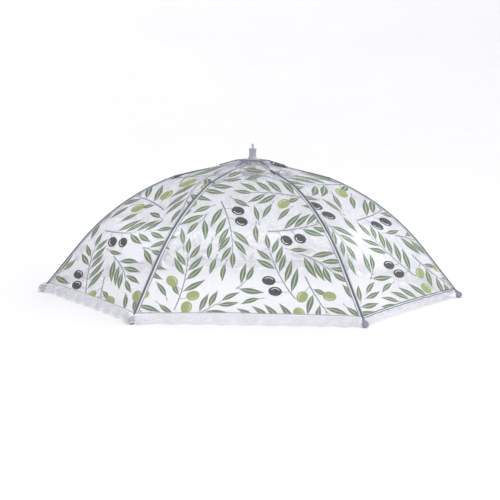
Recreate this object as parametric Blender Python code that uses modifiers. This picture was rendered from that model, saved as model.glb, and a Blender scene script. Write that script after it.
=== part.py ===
"""Mesh food cover umbrella: a six-sided folding canopy on wire ribs, pushed open by a sliding runner.

Metres, +Z up. The origin is on the table, under the middle of the crown. +X points to the right
rib and -Y to the front panel. The cover stands open, with its linkage locked just past centre.
"""

import math

import bmesh
import bpy
from mathutils import Matrix, Vector

# Clearances
SEAT_GAP = 0.0003  # left between pieces that touch
OVERRUN = 0.002  # how far a cutter runs past the face it cuts
MERGE = 0.00001  # welding distance of turned shapes

# Ribs: coated steel wires that leave the crown nearly flat and curve down to the table
RIB_NAMES = ("right", "back_right", "back_left", "left", "front_left", "front_right")
RIB_WIRE_RADIUS = 0.0014
RIB_INNER_LENGTH = 0.104  # crown pivot to stretcher joint, along the wire
RIB_OUTER_LENGTH = 0.2778  # stretcher joint to tip, along the wire
RIB_RISE_LENGTH = 0.187  # the stretch past the joint over which the wire bends down
CROWN_SLOPE = math.radians(9.3)  # slope below level where the wire leaves the crown
JOINT_SLOPE_IN = math.radians(14.7)  # just inside the joint
JOINT_SLOPE_OUT = math.radians(20.7)  # just outside the joint
TIP_SLOPE = math.radians(51.3)
RIB_EYE_RADIUS = 0.0024
RIB_EYE_THICKNESS = 0.0024

# Crown: the slotted upper hub under the cloth, and the wire ring that threads the rib eyes
PIVOT_RADIUS = 0.017  # the rib pivots' distance from the centre line
RING_WIRE_RADIUS = 0.0006
CROWN_RADIUS = 0.0205
CROWN_BODY_RADIUS = 0.0192
CROWN_FLAT_RADIUS = 0.012
CROWN_TOP = 0.0042  # heights over the pivots' plane
CROWN_SHOULDER = 0.0033
CROWN_RIM = 0.0024
CROWN_LIP = 0.0016
CROWN_DEPTH = 0.0033  # below the pivots' plane
CROWN_BOSS_RADIUS = 0.0062
CROWN_BOSS_DEPTH = 0.0044

# Spindle: the centre pin through the crown, with the stop that the runner meets
SPINDLE_RADIUS = 0.0016
SPINDLE_STAND = 0.0078  # length above the top cap
STOP_RADIUS = 0.0034
STOP_THICKNESS = 0.0012

# Top cap: the grey plastic sleeve on the cloth, over the spindle
CAP_HEIGHT = 0.0172
CAP_RADIUS = 0.0055
CAP_RIM_RADIUS = 0.0061
CAP_RIM_HEIGHT = 0.0016
CAP_FOOT_RADIUS = 0.0112
CAP_FOOT_THICKNESS = 0.0006
CAP_FLARE_HEIGHT = 0.0038
CAP_DISH_RADIUS = 0.0040
CAP_DISH_DEPTH = 0.0010

# Runner: the slotted lower hub that slides on the spindle and carries the stretchers
OVER_CENTRE = 0.0092  # the stretcher pivots' height over the rib joints, locked open
RUNNER_RING_RADIUS = 0.013
RUNNER_BODY_RADIUS = 0.0152
RUNNER_FLANGE_RADIUS = 0.0172
RUNNER_FLANGE_THICKNESS = 0.0015
RUNNER_BOSS_RADIUS = 0.0050
GRIP_NECK_RADIUS = 0.0060
GRIP_RADIUS = 0.0085
GRIP_DEPTH = 0.0075

# Stretchers: straight wires beside the ribs, flattened into an eye at both ends
STRETCHER_WIRE_RADIUS = 0.0010
STRETCHER_EYE_RADIUS = 0.0024
STRETCHER_EYE_THICKNESS = 0.0017
RIVET_RADIUS = 0.0009
RIVET_HEAD_RADIUS = 0.0018
RIVET_HEAD_HEIGHT = 0.0008

# Joint clips: a tube on the rib wire, with a lug that hangs beside the wire
CLIP_WALL = 0.0006
CLIP_LENGTH = 0.0064
LUG_THICKNESS = 0.0012
LUG_RADIUS = 0.0024
LUG_DROP = 0.0034  # rivet axis below the wire's centre

# Tip caps: plastic balls on the wire ends, cut flat where they stand on the table
TIP_BALL_RADIUS = 0.0052
TIP_FLAT_DROP = 0.0047  # the ball's centre above the table
TIP_COLLAR_RADIUS = 0.0026
TIP_COLLAR_LENGTH = 0.0079  # from the ball's centre
TIP_SOCKET_DEPTH = 0.0022  # past the ball's centre

# Cloth: six tapered panels, a lace strip under each, and a tape sleeve along each rib
CLOTH = 0.0005
PANEL_SAG = 0.003  # how far a panel's middle lies inside the straight line from rib to rib
CLOTH_HOLE_RADIUS = 0.0050
HEM_BACK = 0.0098  # hem corner to wire end, along the rib
HEM_BOW = 0.0055  # how far the hem's middle is cut back, along the slope
LACE_FLARE = math.radians(72)  # slope of the hanging lace
LACE_CLEARANCE = 0.0012  # the lace's lowest points above the table
SCALLOP_DEPTH = 0.0032
SLEEVE_HALF_WIDTH = 0.0044
SLEEVE_THICKNESS = 0.0004

# Counts of divisions, which follow no size
RIB_COUNT = len(RIB_NAMES)
LINE_STEPS = 400
INNER_SPANS = 4  # straight stretches of the rib line, crown pivot to joint
OUTER_SPANS = 13  # joint to hem
JOIN_STATION = 1  # where the cloth coming off the crown reaches the ribs
PANEL_COLUMNS = 4
SCALLOPS = 9
POINTS_PER_SCALLOP = 4
SLEEVE_COLUMNS = 4
FINE_TURN = 36
SMALL_TURN = 12
RING_TURN = 36
WIRE_SIDES_RESOLUTION = 1
CIRCLE = 2 * math.pi
SECTOR = CIRCLE / RIB_COUNT
HALF_SECTOR = SECTOR / 2

PANEL_NAMES = ("right_back", "back", "left_back", "left_front", "front", "right_front")


def rib_slope(s):
    """The wire's slope below level at the distance s along it from the crown pivot."""
    if s <= RIB_INNER_LENGTH:
        return CROWN_SLOPE + (JOINT_SLOPE_IN - CROWN_SLOPE) * s / RIB_INNER_LENGTH
    share = min(1, (s - RIB_INNER_LENGTH) / RIB_RISE_LENGTH)
    return JOINT_SLOPE_OUT + (TIP_SLOPE - JOINT_SLOPE_OUT) * share


def rib_line():
    """The wire's centre line as (distance along it, outward, up) from the crown pivot."""
    step = (RIB_INNER_LENGTH + RIB_OUTER_LENGTH) / LINE_STEPS
    points = [(0, 0, 0)]
    for i in range(LINE_STEPS):
        s, x, z = points[-1]
        slope = rib_slope(s + step / 2)
        points.append((s + step, x + step * math.cos(slope), z - step * math.sin(slope)))
    return points


RIB_LINE = rib_line()
RIB_LENGTH = RIB_LINE[-1][0]


def rib_point(s, lift=0):
    """(outward, up) at the distance s along the wire, raised by lift square to it."""
    place = s / RIB_LENGTH * LINE_STEPS
    i = max(0, min(LINE_STEPS - 1, int(place)))
    share = place - i
    (_, xa, za), (_, xb, zb) = RIB_LINE[i], RIB_LINE[i + 1]
    slope = rib_slope(s)
    x = xa + (xb - xa) * share + lift * math.sin(slope)
    return x, za + (zb - za) * share + lift * math.cos(slope)


# Places worked out from the sizes above
TIP_X, TIP_DROP = rib_point(RIB_LENGTH)
PIVOT_Z = TIP_FLAT_DROP - TIP_DROP
BORE_RADIUS = SPINDLE_RADIUS + SEAT_GAP
RING_HOLE_RADIUS = RING_WIRE_RADIUS + SEAT_GAP + RIB_EYE_THICKNESS**2 / PIVOT_RADIUS / 8
RIDGE_TILT = math.atan(math.tan(HALF_SECTOR) * math.sin(TIP_SLOPE))  # a panel's fall off the ridge
RIDGE_INSIDE = (RIB_WIRE_RADIUS + SEAT_GAP) / math.cos(RIDGE_TILT)
RIDGE_OUTSIDE = RIDGE_INSIDE + CLOTH / math.cos(RIDGE_TILT)
SEAM_HALF = SEAT_GAP / 2 + CLOTH * math.sin(RIDGE_TILT)

CLIP_RADIUS = RIB_WIRE_RADIUS + SEAT_GAP + CLIP_WALL
STRETCHER_SIDE = CLIP_RADIUS + SEAT_GAP + STRETCHER_WIRE_RADIUS
JOINT_TILT = (rib_slope(RIB_INNER_LENGTH) + rib_slope(RIB_INNER_LENGTH + CLIP_LENGTH)) / 2
JOINT_X, JOINT_Z = rib_point(RIB_INNER_LENGTH)
KNOT_X = JOINT_X - LUG_DROP * math.sin(JOINT_TILT)
KNOT_Z = JOINT_Z - LUG_DROP * math.cos(JOINT_TILT)
CLIP_TOP = RIDGE_INSIDE - SEAT_GAP - CLIP_RADIUS * math.tan(HALF_SECTOR) * math.sin(JOINT_TILT)
RUNNER_PIVOT_X = math.sqrt(RUNNER_RING_RADIUS**2 - STRETCHER_SIDE**2)
RUNNER_Z = PIVOT_Z + KNOT_Z + OVER_CENTRE
STRETCHER_REACH = PIVOT_RADIUS + KNOT_X - RUNNER_PIVOT_X
RING_SKEW = math.asin(STRETCHER_SIDE / RUNNER_RING_RADIUS)
RUNNER_HOLE_RADIUS = (
    RING_WIRE_RADIUS / math.cos(RING_SKEW)
    + STRETCHER_EYE_THICKNESS / 2 * math.tan(RING_SKEW)
    + SEAT_GAP
)
STOP_TOP = -CROWN_BOSS_DEPTH - SEAT_GAP
STOP_BOTTOM = STOP_TOP - STOP_THICKNESS
RUNNER_BOSS_TOP = PIVOT_Z + STOP_BOTTOM - SEAT_GAP - RUNNER_Z
CLOTH_TOP = CROWN_TOP + SEAT_GAP + CLOTH
CAP_BASE = CLOTH_TOP + SEAT_GAP
CAP_TOP = CAP_BASE + CAP_HEIGHT
HEM_S = RIB_LENGTH - HEM_BACK


def new_collection(name):
    group = bpy.data.collections.new(name)
    bpy.context.scene.collection.children.link(group)
    return group


def paint(name, colour, roughness, metallic=0.0):
    """A Principled material with the piece's own colour and finish."""
    mat = bpy.data.materials.new(name)
    mat.use_nodes = True
    shader = mat.node_tree.nodes["Principled BSDF"]
    shader.inputs["Base Color"].default_value = (*colour, 1)
    shader.inputs["Roughness"].default_value = roughness
    shader.inputs["Metallic"].default_value = metallic
    mat.diffuse_color = (*colour, 1)
    return mat


def solid(name, group, bm):
    """An object from a finished bmesh, shaded smooth up to its sharp edges."""
    mesh = bpy.data.meshes.new(name)
    bm.to_mesh(mesh)
    bm.free()
    obj = bpy.data.objects.new(name, mesh)
    group.objects.link(obj)
    return obj


def smooth(mesh):
    mesh.shade_smooth()
    mesh.set_sharp_from_angle(angle=math.radians(35))


def turned(name, group, profile, steps, closed=True):
    """A profile of (radius, height) points turned about Z. It runs down its outer side."""
    bm = bmesh.new()
    points = [bm.verts.new((r, 0, z)) for r, z in profile]
    for a, b in zip(points, points[1:]):
        bm.edges.new((a, b))
    if closed:
        bm.edges.new((points[-1], points[0]))
    obj = solid(name, group, bm)
    screw = obj.modifiers.new("turn", "SCREW")
    screw.axis = "Z"
    screw.angle = CIRCLE
    screw.steps = screw.render_steps = steps
    screw.use_merge_vertices = True
    screw.merge_threshold = MERGE
    return obj


def ring(name, group, ring_radius, wire_radius):
    """A closed wire ring in the XY plane: a circle turned about Z."""
    sides = 2 * math.pi / 6
    circle = [
        (ring_radius + wire_radius * math.cos(-i * sides), wire_radius * math.sin(-i * sides))
        for i in range(6)
    ]
    return turned(name, group, circle, RING_TURN)


def rod(name, group, radius, length, sides=SMALL_TURN):
    """A cylinder along Y, centred on the origin."""
    bm = bmesh.new()
    turn = Matrix.Rotation(math.pi / 2, 4, "X")
    bmesh.ops.create_cone(
        bm, cap_ends=True, segments=sides, radius1=radius, radius2=radius, depth=length, matrix=turn
    )
    return solid(name, group, bm)


def block(name, group, low, high):
    """A box between two corners."""
    bm = bmesh.new()
    size = Vector(high) - Vector(low)
    middle = (Vector(high) + Vector(low)) / 2
    place = Matrix.Translation(middle) @ Matrix.Diagonal((*size, 1))
    bmesh.ops.create_cube(bm, size=1, matrix=place)
    return solid(name, group, bm)


def wire(name, group, points, radius):
    """A round wire through the points, welded closed as a mesh."""
    curve = bpy.data.curves.new(name, "CURVE")
    curve.dimensions = "3D"
    curve.bevel_depth = radius
    curve.bevel_resolution = WIRE_SIDES_RESOLUTION
    curve.use_fill_caps = True
    spline = curve.splines.new("POLY")
    spline.points.add(len(points) - 1)
    for p, at in zip(spline.points, points):
        p.co = (*at, 1)
    path = bpy.data.objects.new(name, curve)
    group.objects.link(path)
    mesh = evaluated_mesh(path)
    bpy.data.objects.remove(path)
    bm = bmesh.new()
    bm.from_mesh(mesh)
    bmesh.ops.remove_doubles(bm, verts=bm.verts, dist=MERGE)
    bmesh.ops.recalc_face_normals(bm, faces=bm.faces)
    return solid(name, group, bm)


def evaluated_mesh(obj):
    bpy.context.view_layer.update()
    return bpy.data.meshes.new_from_object(obj.evaluated_get(bpy.context.evaluated_depsgraph_get()))


def combine(obj, other, operation):
    """Cuts or joins obj by another object with an exact Boolean."""
    other.hide_render = True
    other.display_type = "WIRE"
    tool = obj.modifiers.new(operation.lower(), "BOOLEAN")
    tool.solver = "EXACT"
    tool.operation = operation
    tool.object = other


def finish(obj):
    """Takes the object's modifiers into one mesh, ready for copies."""
    mesh = evaluated_mesh(obj)
    smooth(mesh)
    bpy.data.objects.remove(obj)
    return mesh


def place(name, group, mesh, parent, mat):
    """A named piece with its own material, carried by its parent empty."""
    obj = bpy.data.objects.new(name, mesh.copy())
    obj.data.name = name
    obj.data.materials.clear()
    obj.data.materials.append(mat)
    obj.parent = parent
    group.objects.link(obj)
    return obj


def empty(name, group, location, turn=0):
    obj = bpy.data.objects.new(name, None)
    obj.location = location
    obj.rotation_euler = (0, 0, turn)
    obj.empty_display_size = PIVOT_RADIUS
    group.objects.link(obj)
    return obj


def crown_mesh(group, cutters):
    """The upper hub: a domed disc with a groove for the ring wire and a slot for each rib eye."""
    groove = RING_WIRE_RADIUS + SEAT_GAP
    profile = [
        (BORE_RADIUS, CROWN_TOP),
        (CROWN_FLAT_RADIUS, CROWN_TOP),
        (CROWN_BODY_RADIUS, CROWN_SHOULDER),
        (CROWN_RADIUS, CROWN_RIM),
        (CROWN_RADIUS, CROWN_LIP),
        (CROWN_BODY_RADIUS, groove),
        (PIVOT_RADIUS - groove, groove),
        (PIVOT_RADIUS - groove, -groove),
        (CROWN_BODY_RADIUS, -groove),
        (CROWN_BODY_RADIUS, -CROWN_DEPTH),
        (CROWN_BOSS_RADIUS, -CROWN_DEPTH),
        (CROWN_BOSS_RADIUS, -CROWN_BOSS_DEPTH),
        (BORE_RADIUS, -CROWN_BOSS_DEPTH),
    ]
    crown = turned("crown", group, profile, FINE_TURN)
    room = RIB_EYE_RADIUS + SEAT_GAP
    half = RIB_WIRE_RADIUS + SEAT_GAP
    for i, name in enumerate(RIB_NAMES):
        low = (PIVOT_RADIUS - room, -half, -CROWN_DEPTH - OVERRUN)
        slot = block(f"crown_slot_{name}", cutters, low, (CROWN_RADIUS + OVERRUN, half, room))
        slot.rotation_euler.z = i * SECTOR
        combine(crown, slot, "DIFFERENCE")
    return finish(crown)


def runner_mesh(group, cutters):
    """The lower hub: slots open upward for the stretcher eyes, and a flared grip underneath."""
    groove = RING_WIRE_RADIUS + SEAT_GAP
    room = STRETCHER_EYE_RADIUS + SEAT_GAP
    flange = -room - RUNNER_FLANGE_THICKNESS
    grip = flange - GRIP_DEPTH
    soft = RUNNER_FLANGE_THICKNESS / 2
    profile = [
        (BORE_RADIUS, RUNNER_BOSS_TOP),
        (RUNNER_BOSS_RADIUS, RUNNER_BOSS_TOP),
        (RUNNER_BOSS_RADIUS, room),
        (RUNNER_BODY_RADIUS, room),
        (RUNNER_BODY_RADIUS, groove),
        (RUNNER_RING_RADIUS - groove, groove),
        (RUNNER_RING_RADIUS - groove, -groove),
        (RUNNER_BODY_RADIUS, -groove),
        (RUNNER_BODY_RADIUS, -room),
        (RUNNER_FLANGE_RADIUS, -room),
        (RUNNER_FLANGE_RADIUS, flange + soft / 2),
        (RUNNER_FLANGE_RADIUS - soft, flange),
        (GRIP_NECK_RADIUS, flange),
        (GRIP_NECK_RADIUS, flange - GRIP_DEPTH / 3),
        (GRIP_RADIUS, grip + soft),
        (GRIP_RADIUS - soft, grip),
        (BORE_RADIUS, grip),
    ]
    runner = turned("runner", group, profile, FINE_TURN)
    half = STRETCHER_WIRE_RADIUS + SEAT_GAP
    for i, name in enumerate(RIB_NAMES):
        low = (RUNNER_PIVOT_X - room, STRETCHER_SIDE - half, -room)
        high = (RUNNER_BODY_RADIUS + OVERRUN, STRETCHER_SIDE + half, room + OVERRUN)
        slot = block(f"runner_slot_{name}", cutters, low, high)
        slot.rotation_euler.z = i * SECTOR
        combine(runner, slot, "DIFFERENCE")
    return finish(runner)


def top_cap_mesh(group):
    """The grey sleeve on top: a rim at its mouth and a foot that flares onto the cloth."""
    foot = CAP_BASE + CAP_FOOT_THICKNESS
    flare = CAP_FLARE_HEIGHT - CAP_FOOT_THICKNESS
    spread = CAP_FOOT_RADIUS - CAP_RADIUS
    flare_shares = ((0, 1), (0.12, 0.55), (0.4, 0.22), (1, 0))  # of the spread, of the height
    soft = CAP_RIM_HEIGHT / 4
    profile = [
        (BORE_RADIUS, CAP_TOP - CAP_DISH_DEPTH),
        (CAP_DISH_RADIUS, CAP_TOP - CAP_DISH_DEPTH),
        (CAP_DISH_RADIUS + soft, CAP_TOP),
        (CAP_RIM_RADIUS - soft, CAP_TOP),
        (CAP_RIM_RADIUS, CAP_TOP - soft),
        (CAP_RIM_RADIUS, CAP_TOP - CAP_RIM_HEIGHT + soft),
        (CAP_RADIUS, CAP_TOP - CAP_RIM_HEIGHT),
    ]
    profile += [(CAP_RADIUS + spread * out, foot + flare * up) for out, up in flare_shares]
    profile += [(CAP_FOOT_RADIUS, CAP_BASE), (BORE_RADIUS, CAP_BASE)]
    return finish(turned("top_cap", group, profile, FINE_TURN))


def spindle_mesh(group):
    """The centre pin: round top, stop collar under the crown, tapered lower end in the runner."""
    top = CAP_TOP + SPINDLE_STAND
    bottom = RUNNER_Z - PIVOT_Z - RUNNER_RING_RADIUS / 4
    taper = SPINDLE_RADIUS / 2
    profile = [
        (0, top),
        (taper, top - taper / 4),
        (SPINDLE_RADIUS, top - taper),
        (SPINDLE_RADIUS, STOP_TOP),
        (STOP_RADIUS, STOP_TOP),
        (STOP_RADIUS, STOP_BOTTOM),
        (SPINDLE_RADIUS, STOP_BOTTOM),
        (SPINDLE_RADIUS, bottom + taper),
        (taper, bottom),
        (0, bottom),
    ]
    return finish(turned("spindle", group, profile, SMALL_TURN, closed=False))


def stations(hem):
    """Distances along the rib line at which the wire and the cloth over it bend alike."""
    inner = [RIB_INNER_LENGTH * i / INNER_SPANS for i in range(INNER_SPANS)]
    span = (hem - RIB_INNER_LENGTH) / OUTER_SPANS
    return inner + [RIB_INNER_LENGTH + span * i for i in range(OUTER_SPANS + 1)]


def rib_mesh(group, cutters):
    """A rib wire with its eye flattened round the crown's ring, from the pivot to the tip."""
    start = RING_HOLE_RADIUS + RING_WIRE_RADIUS
    beyond = TIP_SOCKET_DEPTH - SEAT_GAP
    line = [rib_point(s) for s in [start] + stations(HEM_S)[1:]]
    line.append((TIP_X + beyond * math.cos(TIP_SLOPE), TIP_DROP - beyond * math.sin(TIP_SLOPE)))
    points = [(x, 0, z) for x, z in line]
    rib = wire("rib", group, points, RIB_WIRE_RADIUS)
    eye = rod("rib_eye", cutters, RIB_EYE_RADIUS, RIB_EYE_THICKNESS)
    hole = rod("rib_eye_hole", cutters, RING_HOLE_RADIUS, RIB_EYE_THICKNESS + OVERRUN)
    combine(rib, eye, "UNION")
    combine(rib, hole, "DIFFERENCE")
    return finish(rib)


def on_wire(x, z, slope):
    """The frame at a point of the wire: X along it, outward, and Z square to it, up."""
    return Matrix.Translation((x, 0, z)) @ Matrix.Rotation(slope, 4, "Y")


def clip_mesh(group, cutters):
    """The joint clip: a saddle crimped under the wire, with a pierced lug at its side."""
    turn = Matrix.Rotation(math.pi / 2, 4, "Y")
    clip = turned(
        "joint_clip",
        group,
        [
            (RIB_WIRE_RADIUS + SEAT_GAP, CLIP_LENGTH / 2),
            (CLIP_RADIUS, CLIP_LENGTH / 2),
            (CLIP_RADIUS, -CLIP_LENGTH / 2),
            (RIB_WIRE_RADIUS + SEAT_GAP, -CLIP_LENGTH / 2),
        ],
        SMALL_TURN,
    )
    clip.matrix_world = turn
    lug_y = CLIP_RADIUS - LUG_THICKNESS / 2
    plate = block(
        "lug_plate",
        cutters,
        (-LUG_RADIUS, CLIP_RADIUS - LUG_THICKNESS, -LUG_DROP),
        (LUG_RADIUS, CLIP_RADIUS, -RIB_WIRE_RADIUS / 2),
    )
    round_end = rod("lug_end", cutters, LUG_RADIUS, LUG_THICKNESS)
    round_end.location = (0, lug_y, -LUG_DROP)
    pierced = rod("lug_hole", cutters, RIVET_RADIUS + SEAT_GAP, LUG_THICKNESS + OVERRUN)
    pierced.location = (0, lug_y + OVERRUN / 4, -LUG_DROP)
    bore = rod("clip_bore", cutters, RIB_WIRE_RADIUS + SEAT_GAP, CLIP_LENGTH + OVERRUN)
    bore.rotation_euler.z = math.pi / 2
    combine(clip, plate, "UNION")
    combine(clip, round_end, "UNION")
    combine(clip, pierced, "DIFFERENCE")
    combine(clip, bore, "DIFFERENCE")
    reach = CLIP_LENGTH
    over = block("clip_mouth", cutters, (-reach, -reach, CLIP_TOP), (reach, reach, reach))
    combine(clip, over, "DIFFERENCE")
    mesh = finish(clip)
    mesh.transform(on_wire(JOINT_X, JOINT_Z, JOINT_TILT) @ turn)
    return mesh


def tip_mesh(group, cutters):
    """A tip cap: a ball with a collar and a socket for the wire, cut flat at the table."""
    collar = math.asin(TIP_COLLAR_RADIUS / TIP_BALL_RADIUS)
    arc = [collar + (math.pi - collar) * i / 6 for i in range(7)]
    socket = RIB_WIRE_RADIUS + SEAT_GAP
    profile = [(socket, TIP_COLLAR_LENGTH), (TIP_COLLAR_RADIUS, TIP_COLLAR_LENGTH)]
    profile += [(TIP_BALL_RADIUS * math.sin(a), TIP_BALL_RADIUS * math.cos(a)) for a in arc[:-1]]
    profile += [(0, -TIP_BALL_RADIUS), (0, -TIP_SOCKET_DEPTH), (socket, -TIP_SOCKET_DEPTH)]
    ball = turned("tip_cap", group, profile, SMALL_TURN)
    ball.matrix_world = on_wire(TIP_X, TIP_DROP, TIP_SLOPE) @ Matrix.Rotation(-math.pi / 2, 4, "Y")
    reach = TIP_BALL_RADIUS + OVERRUN
    low = (TIP_X - reach, -reach, -PIVOT_Z - reach)
    under = block("table_plane", cutters, low, (TIP_X + reach, reach, -PIVOT_Z))
    combine(ball, under, "DIFFERENCE")
    matrix = ball.matrix_world.copy()
    mesh = finish(ball)
    mesh.transform(matrix)
    return mesh


def stretcher_mesh(group, cutters):
    """A stretcher wire from the runner's ring out to the rivet, with a flat eye at each end."""
    length = math.hypot(STRETCHER_REACH, OVER_CENTRE)
    start = RUNNER_HOLE_RADIUS + RING_WIRE_RADIUS
    end = length - RIVET_RADIUS - 2 * SEAT_GAP
    spot = wire("stretcher", group, [(start, 0, 0), (end, 0, 0)], STRETCHER_WIRE_RADIUS)
    for at, hole_radius, label in (
        (0, RUNNER_HOLE_RADIUS, "inner"),
        (length, RIVET_RADIUS + SEAT_GAP, "outer"),
    ):
        eye = rod(f"{label}_eye", cutters, STRETCHER_EYE_RADIUS, STRETCHER_EYE_THICKNESS)
        eye.location.x = at
        combine(spot, eye, "UNION")
        hole = rod(f"{label}_hole", cutters, hole_radius, STRETCHER_EYE_THICKNESS + OVERRUN)
        hole.location.x = at
        combine(spot, hole, "DIFFERENCE")
    mesh = finish(spot)
    mesh.transform(Matrix.Rotation(math.atan2(OVER_CENTRE, STRETCHER_REACH), 4, "Y"))
    return mesh


def rivet_mesh(group):
    """The rivet through the stretcher's outer eye, its domed head on the outside."""
    seat = STRETCHER_EYE_THICKNESS / 2 + SEAT_GAP
    profile = [
        (0, seat + RIVET_HEAD_HEIGHT),
        (RIVET_HEAD_RADIUS / 2, seat + RIVET_HEAD_HEIGHT * 3 / 4),
        (RIVET_HEAD_RADIUS, seat + RIVET_HEAD_HEIGHT / 4),
        (RIVET_HEAD_RADIUS, seat),
        (RIVET_RADIUS, seat),
        (RIVET_RADIUS, -STRETCHER_EYE_THICKNESS / 2),
        (0, -STRETCHER_EYE_THICKNESS / 2),
    ]
    mesh = finish(turned("rivet", group, profile, SMALL_TURN, closed=False))
    turn = Matrix.Rotation(-math.pi / 2, 4, "X")
    mesh.transform(Matrix.Translation((STRETCHER_REACH, 0, -OVER_CENTRE)) @ turn)
    return mesh


def skin(name, group, rows, thickness):
    """A sheet through rows of points, thickened toward the inside."""
    bm = bmesh.new()
    grid = [[bm.verts.new(p) for p in row] for row in rows]
    for upper, lower in zip(grid, grid[1:]):
        for i in range(len(upper) - 1):
            bm.faces.new((upper[i], lower[i], lower[i + 1], upper[i + 1]))
    obj = solid(name, group, bm)
    shell = obj.modifiers.new("cloth", "SOLIDIFY")
    shell.thickness = thickness
    shell.offset = -1
    shell.use_even_offset = True
    return finish(obj)


def ridge(s):
    """(outward, height over the table) of the cloth's outer face over the wire at s."""
    x, z = rib_point(s, RIDGE_OUTSIDE)
    return PIVOT_RADIUS + x, PIVOT_Z + z


def across(r, z, share, side):
    """A point of a panel, at a share of the way from its middle to the seam at its side."""
    edge = r * math.sin(HALF_SECTOR) - SEAM_HALF / math.cos(HALF_SECTOR) - side
    sag = PANEL_SAG * (1 - share**2) * r / (PIVOT_RADIUS + TIP_X)
    return r * math.cos(HALF_SECTOR) - sag, share * edge, z


def hem_s(share):
    """The hem's distance along the slope: full at the corners and cut back in the middle."""
    return HEM_S - HEM_BOW * (1 - share**2)


def panel_mesh(group):
    """One panel: flat over the crown, then straight from rib to rib with a slight sag."""
    widen = 1 / math.cos(HALF_SECTOR)
    shoulder = CROWN_SHOULDER + SEAT_GAP + CLOTH
    shares = [-1 + 2 * i / PANEL_COLUMNS for i in range(PANEL_COLUMNS + 1)]
    over_crown = [
        (CLOTH_HOLE_RADIUS, CLOTH_TOP),
        (CROWN_FLAT_RADIUS * widen, CLOTH_TOP),
        (CROWN_RADIUS * widen, shoulder),
    ]
    rows = [[across(r, PIVOT_Z + z, t, 0) for t in shares] for r, z in over_crown]
    lines = [stations(hem_s(t))[JOIN_STATION:] for t in shares]
    for row in zip(*lines):
        rows.append([across(*ridge(s), t, 0) for s, t in zip(row, shares)])
    return skin("panel", group, rows, CLOTH)


def lace_mesh(group):
    """The lace under a panel's hem, with a scalloped lower edge just off the table."""
    columns = SCALLOPS * POINTS_PER_SCALLOP
    side = TIP_BALL_RADIUS + SEAT_GAP
    top, middle, bottom = [], [], []
    for i in range(columns + 1):
        share = -1 + 2 * i / columns
        x, y, z = across(*ridge(hem_s(share)), share, side)
        gap = SEAT_GAP + CLOTH
        z -= gap * math.sin(TIP_SLOPE)
        x += gap * math.cos(TIP_SLOPE)
        wave = abs(math.sin(math.pi * i / POINTS_PER_SCALLOP))
        low = LACE_CLEARANCE + SCALLOP_DEPTH * (1 - wave)
        fall = 1 / math.tan(LACE_FLARE)
        half = (z + low) / 2
        top.append((x, y, z))
        middle.append((x + (z - half) * fall, y, half))
        bottom.append((x + (z - low) * fall, y, low))
    return skin("lace", group, [top, bottom], CLOTH)


def sleeve_mesh(group):
    """The tape under a rib, from the joint clip to the hem: a shallow trough below the wire."""
    first = RIB_INNER_LENGTH + CLIP_LENGTH / 2 + SEAT_GAP
    rows = []
    for s in [first] + stations(HEM_S)[INNER_SPANS + 1 :]:
        slope = rib_slope(s)
        fall = math.tan(HALF_SECTOR) * math.sin(slope)
        row = []
        for j in range(SLEEVE_COLUMNS + 1):
            share = -1 + 2 * j / SLEEVE_COLUMNS
            under_wire = -RIB_WIRE_RADIUS - SEAT_GAP
            under_cloth = RIDGE_INSIDE - SLEEVE_HALF_WIDTH * fall - SEAT_GAP / math.cos(RIDGE_TILT)
            lift = under_wire + (under_cloth - under_wire) * abs(share)
            x, z = rib_point(s, lift)
            row.append((x, share * SLEEVE_HALF_WIDTH, z))
        rows.append(row)
    return skin("sleeve", group, rows, SLEEVE_THICKNESS)


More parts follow.
